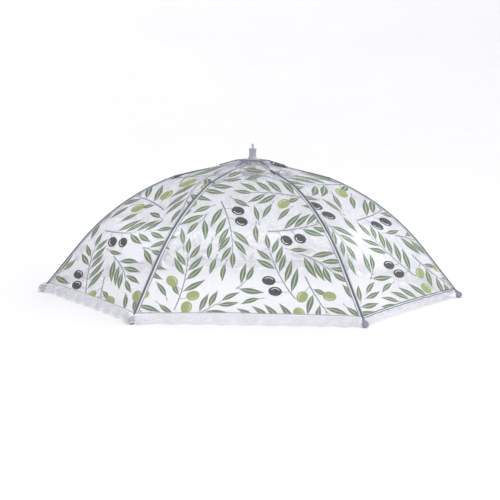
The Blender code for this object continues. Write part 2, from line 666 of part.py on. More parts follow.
def build():
    for obj in list(bpy.data.objects):
        bpy.data.objects.remove(obj)
    cover = new_collection("mesh_food_cover_umbrella")
    cutters = new_collection("cutters")
    cloth = paint("printed_mesh", (0.78, 0.79, 0.84), 0.9)
    lace = paint("white_lace", (0.83, 0.83, 0.88), 0.95)
    tape = paint("white_tape", (0.85, 0.85, 0.87), 0.9)
    coated = paint("grey_coated_wire", (0.16, 0.17, 0.20), 0.45, 0.3)
    steel = paint("bright_steel", (0.55, 0.56, 0.58), 0.3, 1.0)
    hub = paint("dark_grey_plastic", (0.12, 0.13, 0.16), 0.5)
    pale = paint("light_grey_plastic", (0.55, 0.56, 0.63), 0.4)
    dark = paint("charcoal_plastic", (0.03, 0.03, 0.04), 0.5)

    crown_at = empty("crown_centre", cover, (0, 0, PIVOT_Z))
    place("crown", cover, crown_mesh(cover, cutters), crown_at, hub)
    ring_mesh = finish(ring("crown_ring", cover, PIVOT_RADIUS, RING_WIRE_RADIUS))
    place("crown_ring", cover, ring_mesh, crown_at, steel)
    place("spindle", cover, spindle_mesh(cover), crown_at, pale)
    place("top_cap", cover, top_cap_mesh(cover), crown_at, pale)

    runner_at = empty("runner_slide", cover, (0, 0, RUNNER_Z))
    place("runner", cover, runner_mesh(cover, cutters), runner_at, hub)
    ring_mesh = finish(ring("runner_ring", cover, RUNNER_RING_RADIUS, RING_WIRE_RADIUS))
    place("runner_ring", cover, ring_mesh, runner_at, steel)

    rib, clip, tip = rib_mesh(cover, cutters), clip_mesh(cover, cutters), tip_mesh(cover, cutters)
    sleeve, stretcher, rivet = sleeve_mesh(cover), stretcher_mesh(cover, cutters), rivet_mesh(cover)
    for i, name in enumerate(RIB_NAMES):
        turn = i * SECTOR
        pivot = Matrix.Rotation(turn, 3, "Z") @ Vector((PIVOT_RADIUS, 0, PIVOT_Z))
        fold = empty(f"rib_pivot_{name}", cover, pivot, turn)
        place(f"rib_{name}", cover, rib, fold, coated)
        place(f"joint_clip_{name}", cover, clip, fold, steel)
        place(f"sleeve_{name}", cover, sleeve, fold, tape)
        place(f"tip_cap_{name}", cover, tip, fold, dark)
        out = Vector((RUNNER_PIVOT_X, STRETCHER_SIDE, RUNNER_Z))
        swing = empty(f"stretcher_pivot_{name}", cover, Matrix.Rotation(turn, 3, "Z") @ out, turn)
        place(f"stretcher_{name}", cover, stretcher, swing, coated)
        place(f"rivet_{name}", cover, rivet, swing, steel)

    panel, trim = panel_mesh(cover), lace_mesh(cover)
    for i, name in enumerate(PANEL_NAMES):
        middle = empty(f"panel_middle_{name}", cover, (0, 0, 0), i * SECTOR + HALF_SECTOR)
        place(f"panel_{name}", cover, panel, middle, cloth)
        place(f"lace_{name}", cover, trim, middle, lace)


build()
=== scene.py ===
# %% [markdown]
# A folding mesh food cover
#
# The object is a small tent of printed net that stands over plates of food. Six wires hold it open like an
# umbrella, a lace strip hangs round its hem, and a grey cap holds the wires together at the top. The packed
# CAD model gives every body, joint and size, so this lesson only dresses it. It reads that model as a fixed
# frame, and every piece made here rides on one of its bodies.

# %% Load the frame
import bisect
import math
import random

import bmesh
import bpy
from mathutils import Matrix, Vector, noise


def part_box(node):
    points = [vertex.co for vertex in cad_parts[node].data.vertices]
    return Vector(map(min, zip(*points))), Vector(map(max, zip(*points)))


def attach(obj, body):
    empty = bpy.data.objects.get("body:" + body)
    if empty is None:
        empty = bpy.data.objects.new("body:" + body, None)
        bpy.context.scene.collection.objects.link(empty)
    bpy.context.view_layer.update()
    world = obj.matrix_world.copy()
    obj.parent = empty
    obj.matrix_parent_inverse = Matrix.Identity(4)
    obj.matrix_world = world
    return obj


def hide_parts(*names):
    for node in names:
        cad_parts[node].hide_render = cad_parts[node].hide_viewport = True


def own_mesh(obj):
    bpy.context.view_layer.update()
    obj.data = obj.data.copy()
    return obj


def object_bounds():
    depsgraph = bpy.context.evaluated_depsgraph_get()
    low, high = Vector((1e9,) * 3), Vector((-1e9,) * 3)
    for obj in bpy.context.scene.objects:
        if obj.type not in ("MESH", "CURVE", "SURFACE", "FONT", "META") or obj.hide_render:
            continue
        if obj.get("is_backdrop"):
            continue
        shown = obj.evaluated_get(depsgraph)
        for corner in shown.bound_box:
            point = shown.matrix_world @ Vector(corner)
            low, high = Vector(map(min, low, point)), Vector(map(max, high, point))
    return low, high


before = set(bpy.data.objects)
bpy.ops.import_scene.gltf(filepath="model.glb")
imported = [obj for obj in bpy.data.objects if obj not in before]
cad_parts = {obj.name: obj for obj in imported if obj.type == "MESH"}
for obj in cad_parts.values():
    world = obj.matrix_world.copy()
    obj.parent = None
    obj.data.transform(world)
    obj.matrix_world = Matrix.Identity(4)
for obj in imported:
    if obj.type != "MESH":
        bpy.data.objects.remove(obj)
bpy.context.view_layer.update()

# %% [markdown]
# The camera
#
# A picture is matched first by its camera. The six hem corners, the apex and the wire joints were found in
# the picture, and a camera was fitted to them: a long lens, two and a half metres away, seven degrees above
# level. A long lens keeps the far side of the tent nearly as wide as the near side, which is what the
# picture shows.

# %% Camera
TURN = math.radians(0.65)  # round the object, from straight in front
RISE = math.radians(7.33)  # above level
ROLL = math.radians(0.76)
DISTANCE = 2.487
LENS = 114.9  # millimetres, on a sensor 36 wide
back = Vector((math.sin(TURN) * math.cos(RISE), -math.cos(TURN) * math.cos(RISE), math.sin(RISE)))
aim = Vector((-0.0021, 0, 0.0700))
lens = bpy.data.cameras.new("camera")
lens.lens, lens.sensor_width, lens.clip_end = LENS, 36, 100
camera = bpy.data.objects.new("camera", lens)
bpy.context.scene.collection.objects.link(camera)
camera.matrix_world = (
    Matrix.Translation(aim + back * DISTANCE)
    @ back.to_track_quat("Z", "Y").to_matrix().to_4x4()
    @ Matrix.Rotation(ROLL, 4, "Z")
)
bpy.context.scene.camera = camera
bpy.context.scene.view_settings.view_transform = "Standard"
print("camera at", [round(v, 3) for v in camera.location])

# %% [markdown]
# Colours and nodes
#
# Colours are given as sRGB hex values, but a shader works in linear light, so one function converts them.
# Two small ones add a node and fill its sockets, which keeps each material short enough to read. Another
# starts a material: a new one always holds a Principled shader, and what is the same all over the surface
# is set there. Most plain surfaces only vary a little between two tones, as real paint and plastic do, so
# the last one adds that.


# %% Helpers for materials
def linear(colour):
    """An sRGB hex colour as linear RGBA."""
    parts = [int(colour[i : i + 2], 16) / 255 for i in (1, 3, 5)]
    return (*[p / 12.92 if p <= 0.04045 else ((p + 0.055) / 1.055) ** 2.4 for p in parts], 1)


def fill(node, sockets):
    """Gives each socket an output to link, a node whose first output is meant, or a value to hold."""
    for key, value in sockets.items():
        if isinstance(value, bpy.types.Node):
            value = next(output for output in value.outputs if output.enabled)
        if isinstance(value, bpy.types.NodeSocket):
            node.id_data.links.new(value, node.inputs[key])
        else:
            node.inputs[key].default_value = value


def add(tree, kind, sockets=None, **settings):
    """Adds a node and fills its sockets."""
    node = tree.nodes.new(kind)
    for key, value in settings.items():
        setattr(node, key, value)
    fill(node, sockets or {})
    return node


def principled(name, values):
    """A material with one Principled shader, its node tree and the shader."""
    material = bpy.data.materials.new(name)
    material.use_nodes = True
    shader = material.node_tree.nodes["Principled BSDF"]
    fill(shader, values)
    return material, material.node_tree, shader


def clouded(name, light, dark, scale, detail, values):
    """A material whose colour drifts between two tones, its node tree, the shader and the noise."""
    material, tree, shader = principled(name, values)
    place = add(tree, "ShaderNodeTexCoord")
    cloud = add(tree, "ShaderNodeTexNoise", {
        "Vector": place.outputs["Object"], "Scale": scale, "Detail": detail,
    })
    tone = add(
        tree, "ShaderNodeMix", {"Factor": cloud, "A": linear(light), "B": linear(dark)},
        data_type="RGBA",
    )
    fill(shader, {"Base Color": tone})
    return material, tree, shader, cloud


print("white in linear light:", linear("#FFFFFF"))

# %% [markdown]
# Floor
#
# The picture has a plain white ground with hardly a shadow. A floor that ends in a hard line would show it,
# so the floor is a very wide shallow bowl: a profile spun once round the middle, whose edge curves up and
# away. A spin has to be welded shut, and its normals are worked out again because it may come out inside
# out.


# %% A turned shape
def turned(profile, steps):
    """A shape spun round the middle from an outline of (radius, height) points."""
    bm = bmesh.new()
    points = [bm.verts.new((r, 0, z)) for r, z in profile]
    for a, b in zip(points, points[1:]):
        bm.edges.new((a, b))
    bmesh.ops.spin(
        bm, geom=bm.verts[:] + bm.edges[:], cent=(0, 0, 0), axis=(0, 0, 1), angle=2 * math.pi,
        steps=steps, use_merge=True,
    )
    bmesh.ops.remove_doubles(bm, verts=bm.verts, dist=0.00001)
    bmesh.ops.recalc_face_normals(bm, faces=bm.faces)
    return bm


# %% Floor
bm = turned([(0, 0), (3.5, 0), (5.5, 0.05), (7, 0.4), (8, 1.2), (8.5, 2.4)], 96)
if sum(f.normal.z for f in bm.faces) < 0:
    bmesh.ops.reverse_faces(bm, faces=bm.faces)
ground = bpy.data.meshes.new("floor")
bm.to_mesh(ground)
bm.free()
ground.shade_smooth()
ground.materials.append(clouded("matte_white_paint", "#FDFDFD", "#F8F8F9", 3.0, 3.0, {"Roughness": 0.9})[0])
floor = bpy.data.objects.new("floor", ground)
bpy.context.scene.collection.objects.link(floor)
floor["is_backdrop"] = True
print("floor faces:", len(ground.polygons))

# %% [markdown]
# Light
#
# The picture has soft light with hardly a shadow. One large soft lamp stands low in front on the right, a
# weak one above, and the sky is darker on the left, so the left panels come out greyer than the front. Two
# weak lamps under the cover, facing down and up, lift the shade inside, as photographers do with
# see-through goods. No lamp shows in the picture itself.

# %% Lamps and sky
LAMP_AIM = Vector((0, 0, 0.08))
for name, place, size, power in (
    ("key", (1.5, -2.6, 0.9), 1.8, 8),
    ("top", (0.6, 0.4, 2.6), 2.2, 1.5),
    ("inside_down", (0, 0, 0.12), 0.42, 0.2),
    ("inside_up", (0, 0, 0.02), 0.42, 0.42),
):
    lamp = bpy.data.lights.new(name, "AREA")
    lamp.energy, lamp.size = power, size
    holder = bpy.data.objects.new(name, lamp)
    holder.location = place
    holder.rotation_euler = (Vector(place) - LAMP_AIM).to_track_quat("Z", "Y").to_euler()
    holder.visible_camera = False
    bpy.context.scene.collection.objects.link(holder)
sky = bpy.data.worlds.new("sky")
sky.use_nodes = True
backdrop = sky.node_tree.nodes["Background"]
backdrop.inputs["Color"].default_value = linear("#FDFDFF")
toward = add(sky.node_tree, "ShaderNodeTexCoord")
split = add(sky.node_tree, "ShaderNodeSeparateXYZ", {"Vector": toward.outputs["Generated"]})
side = add(sky.node_tree, "ShaderNodeMapRange", {
    "Value": split.outputs["X"], "From Min": -1.0, "From Max": 0.6, "To Min": 0.46, "To Max": 1.42,
})
fill(backdrop, {"Strength": side})
bpy.context.scene.world = sky

# %% [markdown]
# The curve of a wire
#
# The cloth takes its shape from the wires, so the wire's curve is worked out once more from the same sizes
# as in the part: the wire leaves the crown nine degrees below level, has a small kink at the stretcher
# joint, and curves down to fifty-one degrees. Walking along it in short steps is the plainest way to add up
# such a curve.

# %% Sizes taken from the part
RIBS = ("right", "back_right", "back_left", "left", "front_left", "front_right")
PANELS = ("right_back", "back", "left_back", "left_front", "front", "right_front")
SECTOR = math.radians(60)
HALF_SECTOR = SECTOR / 2
WIRE_RADIUS = 0.0014
INNER_LENGTH, OUTER_LENGTH, RISE_LENGTH = 0.104, 0.2778, 0.187
CROWN_SLOPE, JOINT_SLOPE_IN = math.radians(9.3), math.radians(14.7)
JOINT_SLOPE_OUT, TIP_SLOPE = math.radians(20.7), math.radians(51.3)
PIVOT_RADIUS = 0.017
TIP_HEIGHT = 0.0047
CLOTH = 0.0005
SEAT_GAP = 0.0003
LINE_STEPS = 400


def slope_at(s):
    """The wire's slope below level, s along it from the crown pivot."""
    if s <= INNER_LENGTH:
        return CROWN_SLOPE + (JOINT_SLOPE_IN - CROWN_SLOPE) * s / INNER_LENGTH
    share = min(1, (s - INNER_LENGTH) / RISE_LENGTH)
    return JOINT_SLOPE_OUT + (TIP_SLOPE - JOINT_SLOPE_OUT) * share


WIRE_LENGTH = INNER_LENGTH + OUTER_LENGTH
step = WIRE_LENGTH / LINE_STEPS
line = [(0, 0)]
for i in range(LINE_STEPS):
    slope = slope_at((i + 0.5) * step)
    line.append((line[-1][0] + step * math.cos(slope), line[-1][1] - step * math.sin(slope)))
PIVOT_HEIGHT = TIP_HEIGHT - line[-1][1]
TIP_RADIUS = PIVOT_RADIUS + line[-1][0]


def wire_at(s, lift=0):
    """(radius, height) of the wire at s, raised by lift square to it."""
    place = s / step
    i = max(0, min(LINE_STEPS - 1, int(place)))
    share = place - i
    x = line[i][0] + (line[i + 1][0] - line[i][0]) * share
    z = line[i][1] + (line[i + 1][1] - line[i][1]) * share
    slope = slope_at(s)
    return PIVOT_RADIUS + x + lift * math.sin(slope), PIVOT_HEIGHT + z + lift * math.cos(slope)


print("tips stand", round(TIP_RADIUS * 1000, 1), "mm out")
print("the crown's pivots are", round(PIVOT_HEIGHT * 1000, 1), "mm up")

# %% [markdown]
# The canopy
#
# On the real cover six tapered panels are sewn into one continuous sheet that is stretched over the wires.
# When the cover folds, each wire takes the cloth on both of its sides along with it, so the sheet is cut
# here along the middle of every panel and not along the seams: each gore is the two half panels beside one
# wire. Neighbouring gores share the very same edge points, so the open canopy is one unbroken surface. A
# flat grid is moved onto the surface point by point, because then its rows are the threads of the net. The
# cloth is not simulated: it is tight, its shape is known, and only faint tension wrinkles have to be added.
# At the top it runs straight from the edge of the crown to the wire, clear of the wire's first part, and
# the seam is closed there. Folded, the cloth keeps about half its width near the crown but hardly any at
# the hem. So each gore is also cut across into seven bands, and for each band the share of its width that
# its own place would keep is worked out, but the bands are not flattened by it.

# %% The cloth's surface
HEM_S = WIRE_LENGTH - 0.0120  # the hem's corner, along the wire
HEM_BOW = 0.0020  # the hem's middle is cut back by this
SAG = 0.002
SLOT = 0.0019  # the cloth's edge beside the wire, from the middle of the seam
WRINKLE = 0.0007
RIDGE_LIFT = -0.0004  # the panels meet low enough for the wire to stand proud between them
CROWN_EDGE = 0.0205 / math.cos(HALF_SECTOR)
CROWN_EDGE_HEIGHT = PIVOT_HEIGHT + 0.0033 + SEAT_GAP + CLOTH
START_S = CROWN_EDGE - PIVOT_RADIUS
JOIN_S = 0.075  # where the cloth that comes off the crown reaches the wire
SLOT_OPENS = 0.022  # the seam is closed at the crown and as wide as SLOT this much further down


def ridge_at(s):
    """(radius, height) of the cloth's outer face over the wire."""
    if s >= JOIN_S:
        return wire_at(s, RIDGE_LIFT)
    share = (s - START_S) / (JOIN_S - START_S)
    r, z = wire_at(JOIN_S, RIDGE_LIFT)
    return CROWN_EDGE + (r - CROWN_EDGE) * share, CROWN_EDGE_HEIGHT + (z - CROWN_EDGE_HEIGHT) * share


def hem_at(share):
    """How far down the slope the hem lies at a share of the panel."""
    return HEM_S - HEM_BOW * (1 - share**2)


def half_width(s, slot=SLOT):
    """Half the cloth's width at s, from the panel's middle to its edge beside the wire."""
    opened = min(1, max(0, (s - START_S) / SLOT_OPENS))
    return ridge_at(s)[0] * math.sin(HALF_SECTOR) - slot * opened / math.cos(HALF_SECTOR)


def cloth_at(panel, share, s, lift=0.0, slot=SLOT):
    """A point over a panel's outer face: share runs from -1 to 1 between its seams, s down the slope."""
    r, z = ridge_at(s)
    slope = slope_at(s)
    soft = 1 - share**2
    ripple = noise.noise(Vector((share * 2.6 + panel * 9, s * 16, panel * 3.7)))
    ripple += 0.5 * noise.noise(Vector((share * 7 + panel * 5, s * 9, 4.2)))
    raised = lift + WRINKLE * soft * ripple * min(1, s / 0.06)
    out = r * math.cos(HALF_SECTOR) - SAG * soft * r / TIP_RADIUS + raised * math.sin(slope)
    place = Vector((out, share * half_width(s, slot), z + raised * math.cos(slope)))
    return Matrix.Rotation(SECTOR * panel + HALF_SECTOR, 3, "Z") @ place


print("hem corner radius:", round(ridge_at(HEM_S)[0] * 1000, 1), "mm")


# %% Helpers for pieces
def dress(name, bm, body, slot, *materials):
    """A finished bmesh as a piece that rides on a body, with the materials given. The slot is not used."""
    mesh = bpy.data.meshes.new(name)
    bm.to_mesh(mesh)
    bm.free()
    mesh.shade_smooth()
    mesh.set_sharp_from_angle(angle=math.radians(50))
    for material in materials:
        mesh.materials.append(material)
    obj = bpy.data.objects.new(name, mesh)
    bpy.context.scene.collection.objects.link(obj)
    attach(obj, body)
    return obj


FOLD = math.radians(53.3)  # how far a wire swings down


def keep_at(s):
    """The share of a gore's width at s that brings its edge to its neighbour's when the cover is folded."""
    r, z = ridge_at(s)
    out = PIVOT_RADIUS + (r * math.cos(HALF_SECTOR) ** 2 - PIVOT_RADIUS) * math.cos(FOLD)
    out += (z - PIVOT_HEIGHT) * math.sin(FOLD)
    return max(0.07, out * math.tan(HALF_SECTOR) / (r * math.cos(HALF_SECTOR) * math.sin(HALF_SECTOR)))


def fold_with(obj, s=HEM_S):
    """Works out the share of its width that a soft piece s down the slope would keep folded, without using
    it, and gives the piece its own mesh.
    """
    keep_at(s)
    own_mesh(obj)


def beside(rib):
    """The two panels beside a wire, and the share of each one's seam at that wire."""
    return ((rib, -1), ((rib - 1) % 6, 1))


def face_out(bm):
    """Turns an open surface's faces away from the middle of the cover."""
    bm.normal_update()
    middle = Vector((0, 0, -0.2))
    inward = [f for f in bm.faces if f.normal.dot(f.calc_center_median() - middle) < 0]
    bmesh.ops.reverse_faces(bm, faces=inward)


def unwrap(faces, layer, flat):
    """Gives each corner its point's place on the flat cloth."""
    for face in faces:
        for loop in face.loops:
            loop[layer].uv = flat[loop.vert]


def half_panels(rib, columns, rows, lay):
    """A grid over both half panels beside a wire. lay places each point in space and on the cloth."""
    bm = bmesh.new()
    layer = bm.loops.layers.uv.new("UVMap")
    for panel, seam in beside(rib):
        made = bmesh.ops.create_grid(bm, x_segments=columns, y_segments=rows, size=0.5)["verts"]
        flat = {}
        for v in made:
            v.co, flat[v] = lay(panel, seam * (v.co.x + 0.5), v.co.y + 0.5)
        unwrap({f for v in made for f in v.link_faces}, layer, flat)
    return bm


def thicken(bm, thickness, hole=None):
    """Gives a sheet its thickness and returns its area. Its edges can take the look of a hole."""
    face_out(bm)
    area = sum(f.calc_area() for f in bm.faces)
    outer = set(bm.verts)
    bmesh.ops.solidify(bm, geom=bm.faces[:], thickness=thickness)
    if hole:
        rim = [face for face in bm.faces if sum(v in outer for v in face.verts) == 2]
        unwrap(rim, bm.loops.layers.uv["UVMap"], {v: hole for v in bm.verts})
    return area


print("gore of rib 0 takes", [PANELS[p] for p, _ in beside(0)])

# %% [markdown]
# Net cloth
#
# The real cloth is a white polyester net with holes near a millimetre wide, too fine for one pixel of the
# picture. It is drawn with threads 1.8 mm apart, as coarse as it needs to be for the net to show close up.
# The distance to the nearest thread, measured both ways on the bias, gives the holes through the shader's
# alpha. Thread colour drifts a little from white to lavender grey. Near the crown the cloth lies in gathers
# that run down the slope, denser than the flat net, so noise drawn out along the cloth makes it more opaque
# there. That noise, and a darkening that grows with height toward the crown, also mix the net's colour
# toward grey: this is painted shade.

# %% Net material
NET_PITCH = 0.0018


def net_threads(tree, uv_map, thread, hole):
    """Opacity from a UV map in metres: one value on the net's threads and one in its holes."""
    uv = add(tree, "ShaderNodeUVMap", uv_map=uv_map)
    bias = add(tree, "ShaderNodeMapping", {
        "Vector": uv, "Rotation": (0, 0, math.radians(45)),
        "Scale": (1 / NET_PITCH, 1 / NET_PITCH, 1),
    })
    split = add(tree, "ShaderNodeSeparateXYZ", {"Vector": bias})
    warp = add(tree, "ShaderNodeMath", {0: split.outputs["X"], 1: 0.5}, operation="PINGPONG")
    weft = add(tree, "ShaderNodeMath", {0: split.outputs["Y"], 1: 0.5}, operation="PINGPONG")
    nearest = add(tree, "ShaderNodeMath", {0: warp, 1: weft}, operation="MINIMUM")
    return add(tree, "ShaderNodeMapRange", {
        "Value": nearest, "From Min": 0.08, "From Max": 0.16, "To Min": thread, "To Max": hole,
    })


net, tree, shader = principled("white_polyester_net", {"Roughness": 0.85, "Specular IOR Level": 0.2})
threads = net_threads(tree, "UVMap", 0.62, 0.06)
place = add(tree, "ShaderNodeTexCoord")
drift = add(tree, "ShaderNodeTexNoise", {"Vector": place.outputs["Object"], "Scale": 9.0, "Detail": 2.0})
tint = add(
    tree, "ShaderNodeMix",
    {"Factor": drift, "A": linear("#F1F1F5"), "B": linear("#E1E2E9")}, data_type="RGBA",
)
# Painted shade: the net's colour is mixed toward grey with height, most in streaks near the crown, where the
# streaks also make the gathered net more opaque.
where = add(tree, "ShaderNodeSeparateXYZ", {"Vector": place.outputs["Object"]})
high = add(tree, "ShaderNodeMapRange", {
    "Value": where.outputs["Z"], "From Min": 0.15, "From Max": 0.21, "To Max": 0.9,
})
uv = add(tree, "ShaderNodeUVMap", uv_map="UVMap")
drawn = add(tree, "ShaderNodeVectorMath", {0: uv, 1: (260, 22, 1)}, operation="MULTIPLY")
streaks = add(tree, "ShaderNodeTexNoise", {"Vector": drawn, "Scale": 1.0, "Detail": 2.0})
folds = add(tree, "ShaderNodeMapRange", {"Value": streaks, "From Min": 0.35, "From Max": 0.7})
gathers_and_painted_shade = add(tree, "ShaderNodeMath", {0: high, 1: folds}, operation="MULTIPLY")
painted_height_shade = add(tree, "ShaderNodeMapRange", {
    "Value": where.outputs["Z"], "From Min": 0.07, "From Max": 0.2, "To Max": 0.3,
})
shade = add(tree, "ShaderNodeMath", {0: gathers_and_painted_shade, 1: painted_height_shade}, operation="MAXIMUM")
shaded = add(
    tree, "ShaderNodeMix",
    {"Factor": shade, "A": tint, "B": linear("#80838F")}, data_type="RGBA",
)
cover = add(tree, "ShaderNodeMath", {0: shade, 1: 0.22, 2: threads}, operation="MULTIPLY_ADD")
bump = add(tree, "ShaderNodeBump", {"Height": threads, "Strength": 0.25, "Distance": 0.0002})
fill(shader, {"Base Color": shaded, "Alpha": cover, "Normal": bump})
print("net threads every", NET_PITCH * 1000, "mm")

# %% Gores
GORE_COLUMNS, GORE_ROWS = 26, 64
BANDS = ((0, 8), (8, 16), (16, 24), (24, 34), (34, 44), (44, 54), (54, GORE_ROWS))  # rows from and to
NET_HOLE = (NET_PITCH * math.sqrt(0.5), 0)  # the middle of one hole, on the UV map


def s_at(row):
    """How far down the slope a row of the grid lies over the wire."""
    return START_S + row / GORE_ROWS * (HEM_S - START_S)


def on_cloth(panel, share, down, lift=0.0):
    """A point's place in space and on the cloth, down running from the crown, 0, to the hem, 1."""
    s = START_S + down * (hem_at(share) - START_S)
    return cloth_at(panel, share, s, lift), (share * half_width(s), s)


for rib, name in enumerate(RIBS):
    for band, (low, high) in enumerate(BANDS):
        rows = high - low
        bm = half_panels(
            rib, GORE_COLUMNS, rows,
            lambda panel, share, down: on_cloth(panel, share, (low + down * rows) / GORE_ROWS),
        )
        area = thicken(bm, CLOTH, NET_HOLE)
        gore = dress(f"gore_{name}_{band}", bm, f"rib_{name}", "printed_mesh", net)
        fold_with(gore, s_at((low + high) / 2))
        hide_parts(f"panel_{PANELS[rib]}")
print("the bands keep", [round(keep_at(s_at((low + high) / 2)), 2) for low, high in BANDS], "of their width")

# %% [markdown]
# The printed olive sprigs
#
# The net is printed with olive branches, a pattern as common on table linen as checks or stripes. These
# ones are made up for this cover: a few stems that bend evenly, leaves set left and right along them, and
# ripe and green olives on short stalks. Eight kinds of sprig, from a long branch down to a single leaf, are
# thrown at random onto one tile, and each is kept where it touches no other and lies closest in among them.
# A fabric printer repeats such a tile over the whole cloth and the seams cut through it wherever they fall,
# so the same is done here. On the picture's side panels and near its crown the print looks as large as in
# front, so it is stretched there. The shapes are thin ink faces up to a quarter of a millimetre above the
# cloth. Drawing them as faces keeps their edges sharp at any distance, which a pattern of noise can't do.
# Dark ink on white cloth is laid over a white base, so each leaf and olive has a white one under it, and
# from inside the cover the print is pale.

# %% Ink materials
inks = []
for name, body, line_colour in (
    ("green_leaf_ink", "#64785A", "#C2CFB8"),
    ("ripe_olive_ink", "#3A3B3F", "#F4F4F6"),
    ("green_olive_ink", "#9DAC70", "#E0E8BC"),
    ("grey_stem_ink", "#5B616B", "#A9AEB8"),
):
    ink, tree, shader = principled(name, {"Roughness": 0.8, "Specular IOR Level": 0.2})
    uv = add(tree, "ShaderNodeUVMap", uv_map="UVMap")
    split = add(tree, "ShaderNodeSeparateXYZ", {"Vector": uv})
    across, along = split.outputs["X"], split.outputs["Y"]
    side = add(tree, "ShaderNodeMath", {0: across, 1: 0.5}, operation="SUBTRACT")
    off = add(tree, "ShaderNodeMath", {0: side}, operation="ABSOLUTE")
    place = add(tree, "ShaderNodeTexCoord")
    blot = add(tree, "ShaderNodeTexNoise", {"Vector": place.outputs["Object"], "Scale": 260.0, "Detail": 2.0})
    if name == "green_leaf_ink":  # a pale midrib that fades toward the point, and faint slanting veins
        width = add(tree, "ShaderNodeMapRange", {"Value": along, "To Min": 0.085, "To Max": 0.03})
        mark = add(tree, "ShaderNodeMath", {0: off, 1: width}, operation="LESS_THAN")
        vein = add(tree, "ShaderNodeMath", {0: off, 1: -1.4, 2: along}, operation="MULTIPLY_ADD")
        hatch = add(tree, "ShaderNodeMath", {0: vein, 1: 62.0}, operation="MULTIPLY")
        wave = add(tree, "ShaderNodeMath", {0: hatch}, operation="SINE")
        faint = add(tree, "ShaderNodeMapRange", {"Value": wave, "From Min": 0.2, "To Max": 0.14})
        mark = add(tree, "ShaderNodeMath", {0: mark, 1: faint}, operation="MAXIMUM")
    elif name == "grey_stem_ink":  # two grey edges with a pale middle
        mark = add(tree, "ShaderNodeMath", {0: off, 1: 0.16}, operation="LESS_THAN")
    else:  # a curved highlight along one side
        centred = add(tree, "ShaderNodeVectorMath", {0: uv, 1: (0.5, 0.5, 0)}, operation="SUBTRACT")
        reach = add(tree, "ShaderNodeVectorMath", {0: centred}, operation="LENGTH")
        arc = add(tree, "ShaderNodeMath", {0: reach, 1: 0.33, 2: 0.032}, operation="COMPARE")
        lit = add(tree, "ShaderNodeMath", {0: side, 1: 0.18}, operation="GREATER_THAN")
        mark = add(tree, "ShaderNodeMath", {0: arc, 1: lit}, operation="MULTIPLY")
    base = add(
        tree, "ShaderNodeMix",
        {"Factor": mark, "A": linear(body), "B": linear(line_colour)}, data_type="RGBA",
    )
    grain = add(tree, "ShaderNodeMapRange", {"Value": blot, "To Min": 0.0, "To Max": 0.12})
    final = add(tree, "ShaderNodeMix", {
        "Factor": grain, "A": base, "B": linear("#E8EAEE"),
    }, data_type="RGBA")
    fill(shader, {"Base Color": final, "Alpha": net_threads(tree, "NetUV", 1.0, 0.8)})
    inks.append(ink)
white_ink, tree, shader, _ = clouded(
    "white_base_ink", "#FFFFFF", "#F4F4F8", 260.0, 2.0, {"Roughness": 0.8, "Specular IOR Level": 0.2}
)
fill(shader, {"Alpha": net_threads(tree, "NetUV", 1.0, 0.95)})
inks.append(white_ink)
LEAF, RIPE, GREEN, STEM, UNDER = range(5)
print("inks:", [ink.name for ink in inks])

# %% The tile
TILE = (0.262, 0.216)  # the print's repeat, across and down the cloth
CELL = 0.0014  # sprigs keep each other's cells of this width free
STEM_FOOT, STALK = 0.0018, 0.0009  # how wide a stem is at its foot, and at its end like a stalk
STALK_LENGTH = 0.0105
LEAF_LENGTH, LEAF_WIDTH = 0.0400, 0.0092
OLIVE_LENGTH, RIPE_WIDTH, GREEN_WIDTH = 0.0198, 0.0148, 0.0155
KINDS = (  # length and bend of the stem, leaves, olives as (share, side, ripe), and how many go into a tile
    (0.092, 20, 10, ((0.22, -1, 0), (0.38, 1, 0)), 4),
    (0.088, -22, 10, ((0.15, 1, 1), (0.37, 1, 1)), 4),
    (0.076, 22, 9, ((0.18, 1, 1), (0.34, -1, 1), (0.52, 1, 1)), 3),
    (0.068, -24, 8, ((0.32, -1, 0),), 5),
    (0.054, 26, 7, (), 6),
    (0.034, 28, 5, (), 10),
    (0.016, -30, 3, (), 20),
    (0.004, 10, 1, (), 30),
)


def walk(x, y, heading, length, bend, count):
    """Points along a stem that bends evenly, each with its heading."""
    points = [(x, y, heading)]
    for i in range(count):
        turn = heading + bend * (i + 0.5) / count
        x, y = x + length / count * math.cos(turn), y + length / count * math.sin(turn)
        points.append((x, y, heading + bend * (i + 1) / count))
    return points


def sprig(dice, x, y, heading, length, bend, leaves, olives):
    """One sprig's shapes on the flat cloth: (ink, path, width at the foot, width at the end)."""
    path = walk(x, y, heading, length, bend, 24)
    shapes = [(STEM, path[::2], STEM_FOOT, STALK)]
    for i in range(leaves):
        share = 1 if leaves == 1 else 0.14 + 0.86 * i / (leaves - 1)
        side = (-1) ** i
        ahead = [olive[0] - share for olive in olives if olive[1] == side]  # olives further on, this side
        if any(-0.09 < gap < 0.09 for gap in ahead):
            continue
        short = 0.58 if any(0 < gap < 0.3 for gap in ahead) else 1
        px, py, ph = path[round(share * 24)]
        spread = 0 if i == leaves - 1 else math.radians(51 - 14 * share + dice.uniform(-3, 3))
        size = LEAF_LENGTH * short * (1.04 - 0.3 * share) * dice.uniform(0.92, 1.06)
        twig = walk(px, py, ph + side * (spread + 0.15), 0.0026, -side * 0.15, 2)
        shapes.append((STEM, twig, STALK, STALK))
        wide = LEAF_WIDTH * math.sqrt(short) * (1.05 - 0.22 * share) * dice.uniform(0.92, 1.06)
        blade = walk(*twig[-1][:2], ph + side * spread, size, -side * dice.uniform(0.05, 0.4), 8)
        shapes.append((LEAF, blade, wide, wide))
    for share, side, ripe in olives:
        px, py, ph = path[round(share * 24)]
        stalk = walk(px, py, ph + side * math.radians(80), STALK_LENGTH, -side * 0.5, 4)
        shapes.append((STEM, stalk, STALK, STALK))
        wide = RIPE_WIDTH if ripe else GREEN_WIDTH
        shapes.append((RIPE if ripe else GREEN, walk(*stalk[-1], OLIVE_LENGTH, 0, 12), wide, wide))
    return shapes


ACROSS, DOWN = round(TILE[0] / CELL), round(TILE[1] / CELL)


